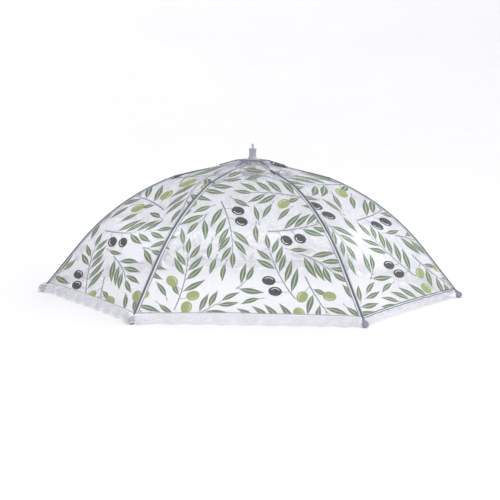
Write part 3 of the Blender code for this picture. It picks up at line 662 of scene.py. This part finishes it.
def cells_under(shapes):
    """The cells of the repeating tile that a sprig's shapes lie on."""
    cells = set()
    for ink, path, wide, _ in shapes:
        last = len(path) - 1
        for k in range(2 * last + 1):
            (x, y, turn), (x2, y2, _) = path[k // 2], path[(k + 1) // 2]
            half = 0
            if ink != STEM and 0 < k < 2 * last:
                half = wide / 2 * math.sin(math.pi * k / (2 * last)) ** 0.8
            for offset in (0,) if half == 0 else (-half, -half / 2, 0, half / 2, half):
                u = (x + x2) / 2 - math.sin(turn) * offset
                v = (y + y2) / 2 + math.cos(turn) * offset
                cells.add((math.floor(u / TILE[0] * ACROSS) % ACROSS, math.floor(v / TILE[1] * DOWN) % DOWN))
    return cells


THROWS = 160
NEAR = [(a, b) for a in (-1, 0, 1) for b in (-1, 0, 1)]
dice = random.Random(8)
tile, closed = [], set()
for length, bend, leaves, olives, _ in (kind for kind in KINDS for _ in range(kind[-1])):
    best = None
    for _ in range(THROWS):  # of the clear places found, take the one closest in among the others
        hand = dice.choice((-1, 1))
        placed = sprig(
            dice, dice.uniform(0, TILE[0]), dice.uniform(0, TILE[1]), dice.uniform(0, 2 * math.pi), length,
            hand * math.radians(bend), leaves, [(share, hand * side, ripe) for share, side, ripe in olives],
        )
        cells = cells_under(placed)
        if not cells & closed:
            room = {((i + a) % ACROSS, (j + b) % DOWN) for i, j in cells for a, b in NEAR}
            touching = len(room & closed) / len(room)
            if best is None or touching > best[0]:
                best = (touching, placed, room)
    if best:
        tile += best[1]
        closed |= best[2]
print("shapes in a tile:", len(tile))
print("closed cells of the tile:", round(100 * len(closed) / (ACROSS * DOWN)), "%")

# %% Where the tile is stretched
STRETCH = {"left_front": 1.7, "right_front": 1.7, "left_back": 1.25, "right_back": 1.25}  # across
LEAST = 0.42  # how small a share of its length the print may have near the crown, before it is drawn out
FULL = 0.85
DRAWN_OUT = [0.0]  # the print's own length, down to each point of the wire's line
for i in range(LINE_STEPS):
    steep = max(LEAST, math.sin(slope_at((i + 0.5) * step) + math.radians(7)))
    DRAWN_OUT.append(DRAWN_OUT[-1] + step * steep / FULL)


def printed_s(y):
    """How far down the slope a row of the print lies. It is drawn out where the cloth lies flat."""
    wanted = DRAWN_OUT[-1] - (WIRE_LENGTH - y)
    if wanted <= 0:
        return wanted
    row = min(LINE_STEPS - 1, bisect.bisect_right(DRAWN_OUT, wanted) - 1)
    return step * (row + (wanted - DRAWN_OUT[row]) / (DRAWN_OUT[row + 1] - DRAWN_OUT[row]))


print("the print is", round(DRAWN_OUT[-1] * 1000), "mm long, on", round(WIRE_LENGTH * 1000), "mm of wire")

# %% Print on the gores
INK_LIFT = (0.00020, 0.00023, 0.00023, 0.00017, 0.00009)  # leaf, ripe, green, stem and the white under them
MARGIN = 0.05  # shapes that start this far outside a half panel may still reach into it
CUTS = (  # a point and a direction for each side of a half panel: its middle, its seam, its hem and the crown
    ((0, 0, 0), (-1, 0, 0)),
    ((0.998, 0, 0), (1, 0, 0)),
    ((0, 0.998, 0), (0, 1, 0)),
    ((0, 0.02, 0), (0, -1, 0)),
)


def cut_off(bm, point, direction):
    """Cuts a bmesh, removes what lies past the cut and returns what lies on it."""
    return bmesh.ops.bisect_plane(
        bm, geom=bm.verts[:] + bm.edges[:] + bm.faces[:], dist=1e-6, plane_co=point, plane_no=direction,
        clear_outer=True,
    )["geom_cut"]


def ink_shape(bm, shape, shift, level):
    """Adds one flat shape: a grid as long as its path, drawn in to the outline of a leaf, olive or stem."""
    ink, path, foot, end = shape
    count = len(path) - 1
    made = bmesh.ops.create_grid(bm, x_segments=2, y_segments=count, size=0.5, calc_uvs=True)["verts"]
    for v in made:
        along = round((v.co.y + 0.5) * count)
        x, y, turn = path[along]
        share = along / count
        if ink == STEM:
            half = (foot + (end - foot) * share) / 2
        elif ink == LEAF:
            half = foot / 2 * math.sin(math.pi * share**0.88) ** 1.2 if 0 < share < 1 else 0.0001
        else:
            half = foot / 2 * math.sqrt(max(0.0001, 1 - (2 * share - 1) ** 2))
        offset = v.co.x * 2 * half
        x, y = x + shift[0] - math.sin(turn) * offset, y + shift[1] + math.cos(turn) * offset
        v.co = (x, y, INK_LIFT[level])
    for face in {f for v in made for f in v.link_faces}:
        face.material_index = level


prints = []
for rib, name in enumerate(RIBS):
    wholes = [bmesh.new() for _ in BANDS]
    for whole in wholes:
        whole.loops.layers.uv.new("UVMap")
        whole.loops.layers.uv.new("NetUV")
    for panel, seam in beside(rib):
        dice = random.Random(40 + panel)
        stretch = STRETCH.get(PANELS[panel], 1)
        phase = (dice.uniform(-0.1, 0.1), dice.uniform(-0.09, 0.09))
        bm = bmesh.new()
        bm.loops.layers.uv.new("UVMap")
        for column in range(-2, 3):
            for row in range(-2, 4):
                shift = (column * TILE[0] + phase[0], row * TILE[1] + phase[1])
                for shape in tile:
                    x, y = shape[1][0][0] + shift[0], printed_s(shape[1][0][1] + shift[1])
                    reach = half_width(min(y, HEM_S)) + MARGIN
                    if START_S + 0.006 < y < HEM_S + 0.04 and -MARGIN < x * seam * stretch < reach:
                        ink_shape(bm, shape, shift, shape[0])
                        if shape[0] != STEM:
                            ink_shape(bm, shape, shift, UNDER)
        for v in bm.verts:  # to shares of the half panel, from its middle to its seam and down to its hem
            s = printed_s(v.co.y)
            share = seam * v.co.x * stretch / half_width(min(max(s, START_S), HEM_S + 0.02))
            v.co.x, v.co.y = share, (s - START_S) / (hem_at(min(1, abs(share))) - START_S)
        for point, direction in CUTS:
            cut_off(bm, point, direction)
        bm.loops.layers.uv.new("NetUV")
        for whole, (low, high) in zip(wholes, BANDS):
            cut = bm.copy()
            cut_off(cut, (0, low / GORE_ROWS, 0), (0, -1, 0))
            cut_off(cut, (0, high / GORE_ROWS, 0), (0, 1, 0))
            flat = {}
            for v in cut.verts:
                v.co, flat[v] = on_cloth(panel, seam * v.co.x, v.co.y, v.co.z)
            unwrap(cut.faces, cut.loops.layers.uv["NetUV"], flat)
            half = bpy.data.meshes.new("half")
            cut.to_mesh(half)
            cut.free()
            whole.from_mesh(half)
            bpy.data.meshes.remove(half)
        bm.free()
    for band, whole in enumerate(wholes):
        face_out(whole)
        ink_piece = dress(f"print_{name}_{band}", whole, f"rib_{name}", "printed_mesh", *inks)
        fold_with(ink_piece, s_at(sum(BANDS[band]) / 2))
        prints.append(ink_piece)
print("print faces:", sum(len(p.data.polygons) for p in prints))

# %% [markdown]
# Lace
#
# Under the hem hangs a strip of machine lace about 17 mm deep, with nine scallops to a side. It could be
# drawn thread by thread, but at this size the eye sees a net, a flower in each scallop and a firm edge, and
# those are simple distances: from the nearest thread, from the flower's outline, and from the two borders.
# So the strip is a thin sheet with a waved lower edge, and its holes are drawn by the material. The strip
# is longer than the hem it is sewn to, so it ruffles more the further down it hangs.

# %% Lace material
SCALLOPS = 9
SCALLOP = 0.0345  # one scallop's width
LACE_HEIGHT = 0.0165
LACE_THREADS = 450  # to a metre
lace_finish, tree, shader, _ = clouded(
    "machine_lace", "#EEEEF2", "#D5D6DE", 40.0, 3.0, {"Roughness": 0.9, "Specular IOR Level": 0.2}
)
uv = add(tree, "ShaderNodeUVMap", uv_map="UVMap")
split = add(tree, "ShaderNodeSeparateXYZ", {"Vector": uv})
along, down = split.outputs["X"], split.outputs["Y"]
cell = add(tree, "ShaderNodeMath", {0: along}, operation="FRACT")
dx = add(tree, "ShaderNodeMath", {0: cell, 1: SCALLOP, 2: -SCALLOP / 2}, operation="MULTIPLY_ADD")
dy = add(tree, "ShaderNodeMath", {0: down, 1: LACE_HEIGHT, 2: -0.52 * LACE_HEIGHT}, operation="MULTIPLY_ADD")
spot = add(tree, "ShaderNodeCombineXYZ", {"X": dx, "Y": dy})
radius = add(tree, "ShaderNodeVectorMath", {0: spot}, operation="LENGTH")
angle = add(tree, "ShaderNodeMath", {0: dy, 1: dx}, operation="ARCTAN2")
lobes = add(tree, "ShaderNodeMath", {0: angle, 1: 6.0}, operation="MULTIPLY")
wave = add(tree, "ShaderNodeMath", {0: lobes}, operation="COSINE")
petal = add(tree, "ShaderNodeMath", {0: wave, 1: 0.0013, 2: 0.0044}, operation="MULTIPLY_ADD")
outline = add(tree, "ShaderNodeMath", {0: radius, 1: petal, 2: 0.0007}, operation="COMPARE")
heart = add(tree, "ShaderNodeMath", {0: radius, 1: 0.0014}, operation="LESS_THAN")
top_edge = add(tree, "ShaderNodeMath", {0: down, 1: 0.14}, operation="LESS_THAN")
low_edge = add(tree, "ShaderNodeMath", {0: down, 1: 0.88}, operation="GREATER_THAN")
bias = add(tree, "ShaderNodeMapping", {
    "Vector": spot, "Rotation": (0, 0, math.radians(45)), "Scale": (LACE_THREADS, LACE_THREADS, 1),
    "Location": (50, 50, 0),
})
lattice = add(tree, "ShaderNodeSeparateXYZ", {"Vector": bias})
one = add(tree, "ShaderNodeMath", {0: lattice.outputs["X"], 1: 0.5}, operation="PINGPONG")
two = add(tree, "ShaderNodeMath", {0: lattice.outputs["Y"], 1: 0.5}, operation="PINGPONG")
nearest = add(tree, "ShaderNodeMath", {0: one, 1: two}, operation="MINIMUM")
mesh_part = add(tree, "ShaderNodeMapRange", {
    "Value": nearest, "From Min": 0.1, "From Max": 0.18, "To Min": 0.75, "To Max": 0.08,
})
cover = mesh_part
for part in (outline, heart, top_edge, low_edge):
    cover = add(tree, "ShaderNodeMath", {0: cover, 1: part}, operation="MAXIMUM")
raised = add(tree, "ShaderNodeBump", {"Height": cover, "Strength": 0.5, "Distance": 0.0004})
fill(shader, {"Alpha": cover, "Normal": raised})
print("scallops of", SCALLOP * 1000, "mm")

# %% Lace strips
LACE_COLUMNS, LACE_ROWS = 72, 6
LACE_FALL = 1 / math.tan(math.radians(60))
LACE, LACE_CUT = 0.0003, 0.02  # how thick the strip is, and how high it is cut
CLEARANCE, SCALLOP_DEPTH = 0.0010, 0.0058
DROP = {"right_front": 0.62}  # this strip is pushed up into small folds
LACE_HOLE = (0.5 + 2.5 * math.sqrt(2) / LACE_THREADS / SCALLOP, 0.52)  # the middle of one hole, on the UV map
WRAPPED = ("left", "front_left")  # the ribs whose tip the lace hides
WRAP_RADIUS, WRAP_REACH = 0.0078, 0.024  # round the ball, and how far along the hem the strip is drawn to it


def lace_at(panel, share, down):
    """A point of a panel's lace, down running from the hem, 0, to the scalloped edge, 1."""
    top_r, top_z = ridge_at(hem_at(share))
    gap = SEAT_GAP + CLOTH
    wrapped = RIBS[(panel + (share > 0)) % 6] in WRAPPED
    z = top_z - gap * math.sin(TIP_SLOPE)
    wave = abs(math.sin(math.pi * SCALLOPS * (share + 1) / 2))
    frayed = 0.0009 * noise.noise(Vector((share * 55, panel * 2.3, 0.4)))
    low = CLEARANCE + SCALLOP_DEPTH * (1 - wave) + abs(frayed)
    drop = DROP.get(PANELS[panel], 1)
    if wrapped:
        low += (0.0006 - low) * max(0, 1 - (1 - abs(share)) * 12) ** 2
    low = z + (low - z) * drop
    clear = 0.0002 if wrapped else 0.002 + 0.0036 * min(1, max(0, (down - 0.15) / 0.4))  # from the tip's ball
    half = half_width(hem_at(share), 0) - clear
    ruffle = math.sin(share * 41 + panel) + 0.8 * noise.noise(Vector((share * 14, panel * 3.1, 1.7)))
    out = top_r * math.cos(HALF_SECTOR) - SAG * (1 - share**2) * top_r / TIP_RADIUS
    out += gap * math.cos(TIP_SLOPE) + (z - low) * down * LACE_FALL + 0.0009 * down / drop * ruffle
    height = z + (low - z) * down
    if wrapped:  # the strip goes round the outside of the ball
        near = max(0, 1 - (1 - abs(share)) * half / WRAP_REACH)
        bulge = math.sqrt(max(0, WRAP_RADIUS**2 - (height - TIP_HEIGHT) ** 2))
        pull = near * near * (3 - 2 * near)
        out += max(0, (TIP_RADIUS + bulge) * math.cos(HALF_SECTOR) - out) * pull
        half += max(0, (TIP_RADIUS + bulge) * math.sin(HALF_SECTOR) - half) * pull
    place = Vector((out, share * half, height))
    return Matrix.Rotation(SECTOR * panel + HALF_SECTOR, 3, "Z") @ place


def on_lace(panel, share, up):
    """A point's place in space and on the lace's pattern, up running from the lower edge to the hem."""
    return lace_at(panel, share, 1 - up), (SCALLOPS * (share + 1) / 2, 1 - up)


for rib, name in enumerate(RIBS):
    bm = half_panels(rib, LACE_COLUMNS, LACE_ROWS, on_lace)
    area = thicken(bm, LACE, LACE_HOLE)
    lace = dress(f"lace_strip_{name}", bm, f"rib_{name}", "white_lace", lace_finish)
    fold_with(lace)
    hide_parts(f"lace_{PANELS[rib]}")
print("one lace strip:", len(lace.data.polygons), "faces")

# %% [markdown]
# Tape
#
# A white woven tape binds the two cloth edges beside each wire and makes the channel that the wire lies in.
# It is a ribbon with a folded section: a flap on the cloth, an edge turned down beside the wire, and the
# trough under the wire. The section is swept along the wire's curve by moving a grid, one column for each
# fold.

# %% Tape material
tape_finish, tree, shader = principled("woven_cotton_tape", {"Roughness": 0.85, "Specular IOR Level": 0.25})
uv = add(tree, "ShaderNodeUVMap", uv_map="UVMap")
scaled = add(tree, "ShaderNodeVectorMath", {0: uv, 1: (900, 700, 1)}, operation="MULTIPLY")
weave = add(tree, "ShaderNodeTexChecker", {
    "Vector": scaled, "Color1": linear("#FAFAFC"), "Color2": linear("#E3E4EC"), "Scale": 1.0,
})
bump = add(tree, "ShaderNodeBump", {"Height": weave.outputs["Fac"], "Strength": 0.4, "Distance": 0.0002})
split = add(tree, "ShaderNodeSeparateXYZ", {"Vector": uv})
off = add(tree, "ShaderNodeMath", {0: split.outputs["X"]}, operation="ABSOLUTE")
# A grey band along the flap's outer edge is a stitch line and painted shadow where the tape's edge lies on
# the cloth.
edge = add(tree, "ShaderNodeMath", {0: off, 1: 0.0038}, operation="GREATER_THAN")
stitch_line_and_edge_shadow = add(
    tree, "ShaderNodeMix",
    {"Factor": edge, "A": weave.outputs["Color"], "B": linear("#8F93A0")}, data_type="RGBA",
)
fill(shader, {"Base Color": stitch_line_and_edge_shadow, "Normal": bump})
print("tape threads every", round(1000 / 900, 2), "mm")

# %% Tapes
FLAP = 0.0030  # how far the tape lies on the cloth, past the cloth's edge
TAPE = 0.0002
TAPE_START = INNER_LENGTH + 0.0036


def tape_at(rib, column, s):
    """A point of the tape's outer face: columns -3 to 3 run from flap to flap, 0 under the wire."""
    side = 1 if column >= 0 else -1
    if abs(column) < 1:
        r, z = wire_at(s, -WIRE_RADIUS - TAPE)
        return Matrix.Rotation(SECTOR * rib, 3, "Z") @ Vector((r, 0, z))
    width, lift = {1: (0.0014, -0.0012), 2: (SLOT - 0.0001, 0.0003), 3: (SLOT + FLAP, 0.00025)}[abs(column)]
    panel, seam = beside(rib)[0 if side > 0 else 1]
    full = half_width(s, 0)
    return cloth_at(panel, seam * (1 - width / full), s, lift, slot=0)


for rib, name in enumerate(RIBS):
    bm = bmesh.new()
    layer = bm.loops.layers.uv.new("UVMap")
    made = bmesh.ops.create_grid(bm, x_segments=6, y_segments=70, size=0.5)["verts"]
    flat = {}
    for v in made:
        column, s = round(v.co.x * 6), TAPE_START + (v.co.y + 0.5) * (HEM_S - TAPE_START)
        flat[v] = (column * 0.0015, s)
        v.co = tape_at(rib, column, s)
    unwrap(bm.faces, layer, flat)
    thicken(bm, TAPE)
    tape = dress(f"tape_{name}", bm, f"rib_{name}", "white_tape", tape_finish)
    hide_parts(f"sleeve_{name}")
print("one tape:", len(tape.data.polygons), "faces")

# %% [markdown]
# Hem
#
# The hem is the cloth's edge rolled over a thread and stitched, and reads as a thin pale line. On the right
# front side the lace is sewn on with a dark overlock seam, which reads as two dark lines. The same dark
# thread closes the seam over each wire, just below the crown. Each is a small round cord: a circle is
# extruded ring by ring along the path, which bmesh does with one extrude and one move for each ring.

# %% Hem materials
hem_threads = []
for name, light, dark in (
    ("pale_hem_cord", "#BFC2CC", "#9DA0AD"),
    ("dark_overlock_thread", "#7C7F8A", "#5A5D68"),
):
    thread, tree, shader = principled(name, {"Roughness": 0.8, "Specular IOR Level": 0.3})
    place = add(tree, "ShaderNodeTexCoord")
    twist = add(tree, "ShaderNodeTexWave", {
        "Vector": place.outputs["Object"], "Scale": 220.0, "Distortion": 2.0,
    })
    tone = add(
        tree, "ShaderNodeMix",
        {"Factor": twist.outputs["Fac"], "A": linear(dark), "B": linear(light)}, data_type="RGBA",
    )
    bump = add(tree, "ShaderNodeBump", {"Height": twist.outputs["Fac"], "Strength": 0.5, "Distance": 0.0002})
    fill(shader, {"Base Color": tone, "Normal": bump})
    hem_threads.append(thread)
PALE, DARK = range(2)
print("hem threads:", [thread.name for thread in hem_threads])


# %% Hem cords
def tube(bm, path, radius, sides=8, finish=0):
    """A round tube along a path of points, closed at both ends."""
    ring = bmesh.ops.create_circle(bm, cap_ends=True, segments=sides, radius=1)["verts"]
    ring[0].link_faces[0].material_index = finish  # extruding passes it on
    for i, point in enumerate(path):
        ahead = (path[min(i + 1, len(path) - 1)] - path[max(i - 1, 0)]).normalized()
        turn = Matrix.Translation(point) @ ahead.to_track_quat("Z", "Y").to_matrix().to_4x4()
        if i:
            face = next(f for f in ring[0].link_faces if set(f.verts) == set(ring))
            made = bmesh.ops.extrude_discrete_faces(bm, faces=[face])["faces"][0]
            ring = made.verts[:]
        for k, v in enumerate(ring):
            angle = 2 * math.pi * k / sides
            v.co = turn @ Vector((math.cos(angle) * radius, math.sin(angle) * radius, 0))


hems = []
for rib, name in enumerate(RIBS):
    bm = bmesh.new()
    for panel, seam in beside(rib):
        shares = [seam * k / 40 for k in range(41)]
        hem = [cloth_at(panel, share, hem_at(share) - 0.0006, 0.0003) for share in shares]
        doubled = PANELS[panel] == "right_front"  # this side's lace is sewn on with a dark overlock seam
        tube(bm, hem, 0.0007, 8, DARK if doubled else PALE)
        if doubled:
            tube(bm, [lace_at(panel, share * 0.995, 0.17) for share in shares], 0.0006, 6, DARK)
    ridge = []
    for k in range(9):
        r, z = ridge_at(START_S + 0.0035 * k)
        ridge.append(Matrix.Rotation(SECTOR * rib, 3, "Z") @ Vector((r, 0, z + 0.0004)))
    tube(bm, ridge, 0.0009, 8, DARK)  # the seam over the wire, up to the crown
    hem_piece = dress(f"hem_{name}", bm, f"rib_{name}", "white_lace", *hem_threads)
    fold_with(hem_piece)
    hems.append(hem_piece)
print("hem faces:", sum(len(h.data.polygons) for h in hems))

# %% [markdown]
# Plastic cap, pin and tips
#
# The cap on top is a moulded grey sleeve, so it is turned like a vase: half of its outline is drawn as a
# few points and spun round the middle. The pin through it and the ball on each wire's end are made the same
# way.

# %% Plastic materials
plastics = {}
for name, light, dark, rough in (
    ("moulded_pale_grey_abs", "#B9BBC4", "#9799A4", 0.38),
    ("moulded_dark_grey_nylon", "#5A5D69", "#454853", 0.45),
    ("soft_grey_vinyl", "#A2A4B4", "#76788A", 0.5),
):
    plastic, tree, shader, cloud = clouded(name, light, dark, 180.0, 3.0, {"Roughness": rough})
    place = add(tree, "ShaderNodeTexCoord")
    grit = add(tree, "ShaderNodeTexNoise", {
        "Vector": place.outputs["Object"], "Scale": 2200.0, "Detail": 1.0,
    })
    sheen = add(tree, "ShaderNodeMapRange", {"Value": cloud, "To Min": rough - 0.1, "To Max": rough + 0.12})
    bump = add(tree, "ShaderNodeBump", {"Height": grit, "Strength": 0.15, "Distance": 0.0001})
    fill(shader, {"Roughness": sheen, "Normal": bump})
    plastics[name] = plastic
print("plastics:", list(plastics))

# %% Cap
cap_low, cap_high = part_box("top_cap")
base, top = cap_low[2], cap_high[2]
cap_outline = [
    (0, base), (0.0106, base), (0.0112, base + 0.0003), (0.0110, base + 0.0007), (0.0086, base + 0.0014),
    (0.0068, base + 0.0024), (0.0060, base + 0.0038), (0.0056, base + 0.0062), (0.0054, base + 0.0100),
    (0.0054, top - 0.0022), (0.0056, top - 0.0018), (0.0060, top - 0.0016), (0.0061, top - 0.0013),
    (0.0061, top - 0.0004), (0.0058, top), (0.0045, top), (0.0041, top - 0.0003), (0.0039, top - 0.0010),
    (0, top - 0.0010),
]
pale_plastic = plastics["moulded_pale_grey_abs"]
cap = dress("cap_sleeve", turned(cap_outline, 64), "crown", "light_grey_plastic", pale_plastic)
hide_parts("top_cap")
print("cap height:", round((top - base) * 1000, 1), "mm")

# %% Pin
pin_low, pin_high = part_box("spindle")
base, top = pin_low[2], pin_high[2]
stop = PIVOT_HEIGHT - 0.0047  # the upper face of the collar that stops the runner
pin_outline = [
    (0, top), (0.0009, top - 0.0002), (0.0014, top - 0.0006), (0.0016, top - 0.0012),
    (0.0016, stop), (0.0034, stop), (0.0034, stop - 0.0012), (0.0016, stop - 0.0012),
    (0.0016, base + 0.0008), (0.0008, base), (0, base),
]
pin = dress("centre_pin", turned(pin_outline, 32), "crown", "light_grey_plastic", pale_plastic)
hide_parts("spindle")
print("pin length:", round((top - base) * 1000, 1), "mm")

# %% Tips
BALL = 0.0052
arc = [math.radians(30 + 150 * k / 14) for k in range(15)]
ball_outline = [(0, 0.0079), (0.0021, 0.0079), (0.0026, 0.0075), (0.0026, 0.0052), (0.0029, 0.0046)]
ball_outline += [(BALL * math.sin(a), BALL * math.cos(a)) for a in arc[1:-1]] + [(0, -BALL)]
for rib, name in enumerate(RIBS):
    bm = turned(ball_outline, 28)
    spot = Matrix.Rotation(SECTOR * rib, 4, "Z") @ Matrix.Translation((TIP_RADIUS, 0, TIP_HEIGHT))
    tilt = Matrix.Rotation(TIP_SLOPE, 4, "Y") @ Matrix.Rotation(-math.pi / 2, 4, "Y")
    bmesh.ops.transform(bm, verts=bm.verts, matrix=spot @ tilt)
    cut = cut_off(bm, (0, 0, 0), (0, 0, -1))  # flat where it stands on the table
    bmesh.ops.contextual_create(bm, geom=[g for g in cut if isinstance(g, bmesh.types.BMEdge)])
    bmesh.ops.recalc_face_normals(bm, faces=bm.faces)
    ball = dress(f"tip_ball_{name}", bm, f"rib_{name}", "charcoal_plastic", plastics["soft_grey_vinyl"])
    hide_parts(f"tip_cap_{name}")
print("tip ball faces:", len(ball.data.polygons))

# %% [markdown]
# The cloth over the crown
#
# The panels come together under the cap, over the slotted crown, where a folded patch of the same net
# covers the cut ends. It is gathered, so its surface has small pleats that run outward, and a thick thread
# sews its rim down. Both stay with the crown when the gores fold down beside them.

# %% Crown patch
PLEATS, PLEAT = 30, 0.00022  # how many, and half the height of one
flat_top = PIVOT_HEIGHT + 0.0042 + SEAT_GAP + CLOTH
bm = turned([
    (0.0056, flat_top), (0.0080, flat_top), (0.0110, flat_top), (0.0139, flat_top - 0.00005),
    (0.0165, flat_top - 0.0003), (0.0200, flat_top - 0.00055),
    (CROWN_EDGE + 0.0012, CROWN_EDGE_HEIGHT - 0.0001),
], 144)
layer = bm.loops.layers.uv.new("UVMap")
for v in bm.verts:
    around = math.atan2(v.co.y, v.co.x) % SECTOR
    r = v.co.to_2d().length
    hexagon = math.cos(HALF_SECTOR) / math.cos(around - HALF_SECTOR)
    spread = min(1, max(0, (r - 0.0075) / 0.012))
    squeeze = 1 + (hexagon - 1) * spread
    v.co.x, v.co.y = v.co.x * squeeze, v.co.y * squeeze
    v.co.z += PLEAT * spread * (1 + math.sin(PLEATS * math.atan2(v.co.y, v.co.x))) + 0.0002
unwrap(bm.faces, layer, {v: v.co.to_2d() for v in bm.verts})
area = thicken(bm, 0.0003)
patch = dress("crown_patch", bm, "crown", "printed_mesh", net)
bm = bmesh.new()
seam_path = []
for k in range(73):
    around = math.radians(5 * k)
    r = CROWN_EDGE * math.cos(HALF_SECTOR) / math.cos(around % SECTOR - HALF_SECTOR)
    seam_path.append(Vector((r * math.cos(around), r * math.sin(around), CROWN_EDGE_HEIGHT + 0.0007)))
tube(bm, seam_path, 0.0005, 6)
dress("patch_seam", bm, "crown", "printed_mesh", hem_threads[DARK])
print("patch area:", round(area * 1e4, 1), "square cm")

# %% [markdown]
# Wires, clips and hubs
#
# The ribs and stretchers are drawn steel wire dipped in grey vinyl, which gives a soft, slightly waxy shine
# with small runs along the wire. The clips, rivets and rings are bare zinc-plated steel, duller where it
# was pressed. The two slotted hubs are dark moulded nylon. Their shapes in the CAD model are right, so
# those nodes stay as they are and only get these materials.

# %% Wire and metal
coated, tree, shader, runs = clouded(
    "vinyl_coated_steel_wire", "#4C505C", "#6C707C", 120.0, 3.0,
    {"Roughness": 0.35, "Coat Weight": 0.25, "Coat Roughness": 0.25},
)
bump = add(tree, "ShaderNodeBump", {"Height": runs, "Strength": 0.2, "Distance": 0.0002})
fill(shader, {"Normal": bump})
zinc, tree, shader = principled("zinc_plated_steel", {"Metallic": 1.0, "Roughness": 0.4})
place = add(tree, "ShaderNodeTexCoord")
spangle = add(tree, "ShaderNodeTexVoronoi", {"Vector": place.outputs["Object"], "Scale": 900.0})
tone = add(
    tree, "ShaderNodeMix",
    {"Factor": spangle.outputs["Distance"], "A": linear("#9A9DA6"), "B": linear("#6E727D")}, data_type="RGBA",
)
worn = add(tree, "ShaderNodeMapRange", {"Value": spangle.outputs["Distance"], "To Min": 0.3, "To Max": 0.55})
fill(shader, {"Base Color": tone, "Roughness": worn})
print("metals:", coated.name, zinc.name)

# %% Finishes for the CAD nodes that stay
for node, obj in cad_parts.items():
    if node.startswith(("rib_", "stretcher_")):
        coat = coated
    elif node.startswith(("joint_clip", "rivet")) or node.endswith("_ring"):
        coat = zinc
    else:
        coat = plastics["moulded_dark_grey_nylon"]
    for holder in obj.material_slots:
        holder.material = coat
print("nodes dressed:", len(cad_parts))

# %% Check
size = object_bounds()
print("the dressed box:", [[round(v, 4) for v in corner] for corner in size])
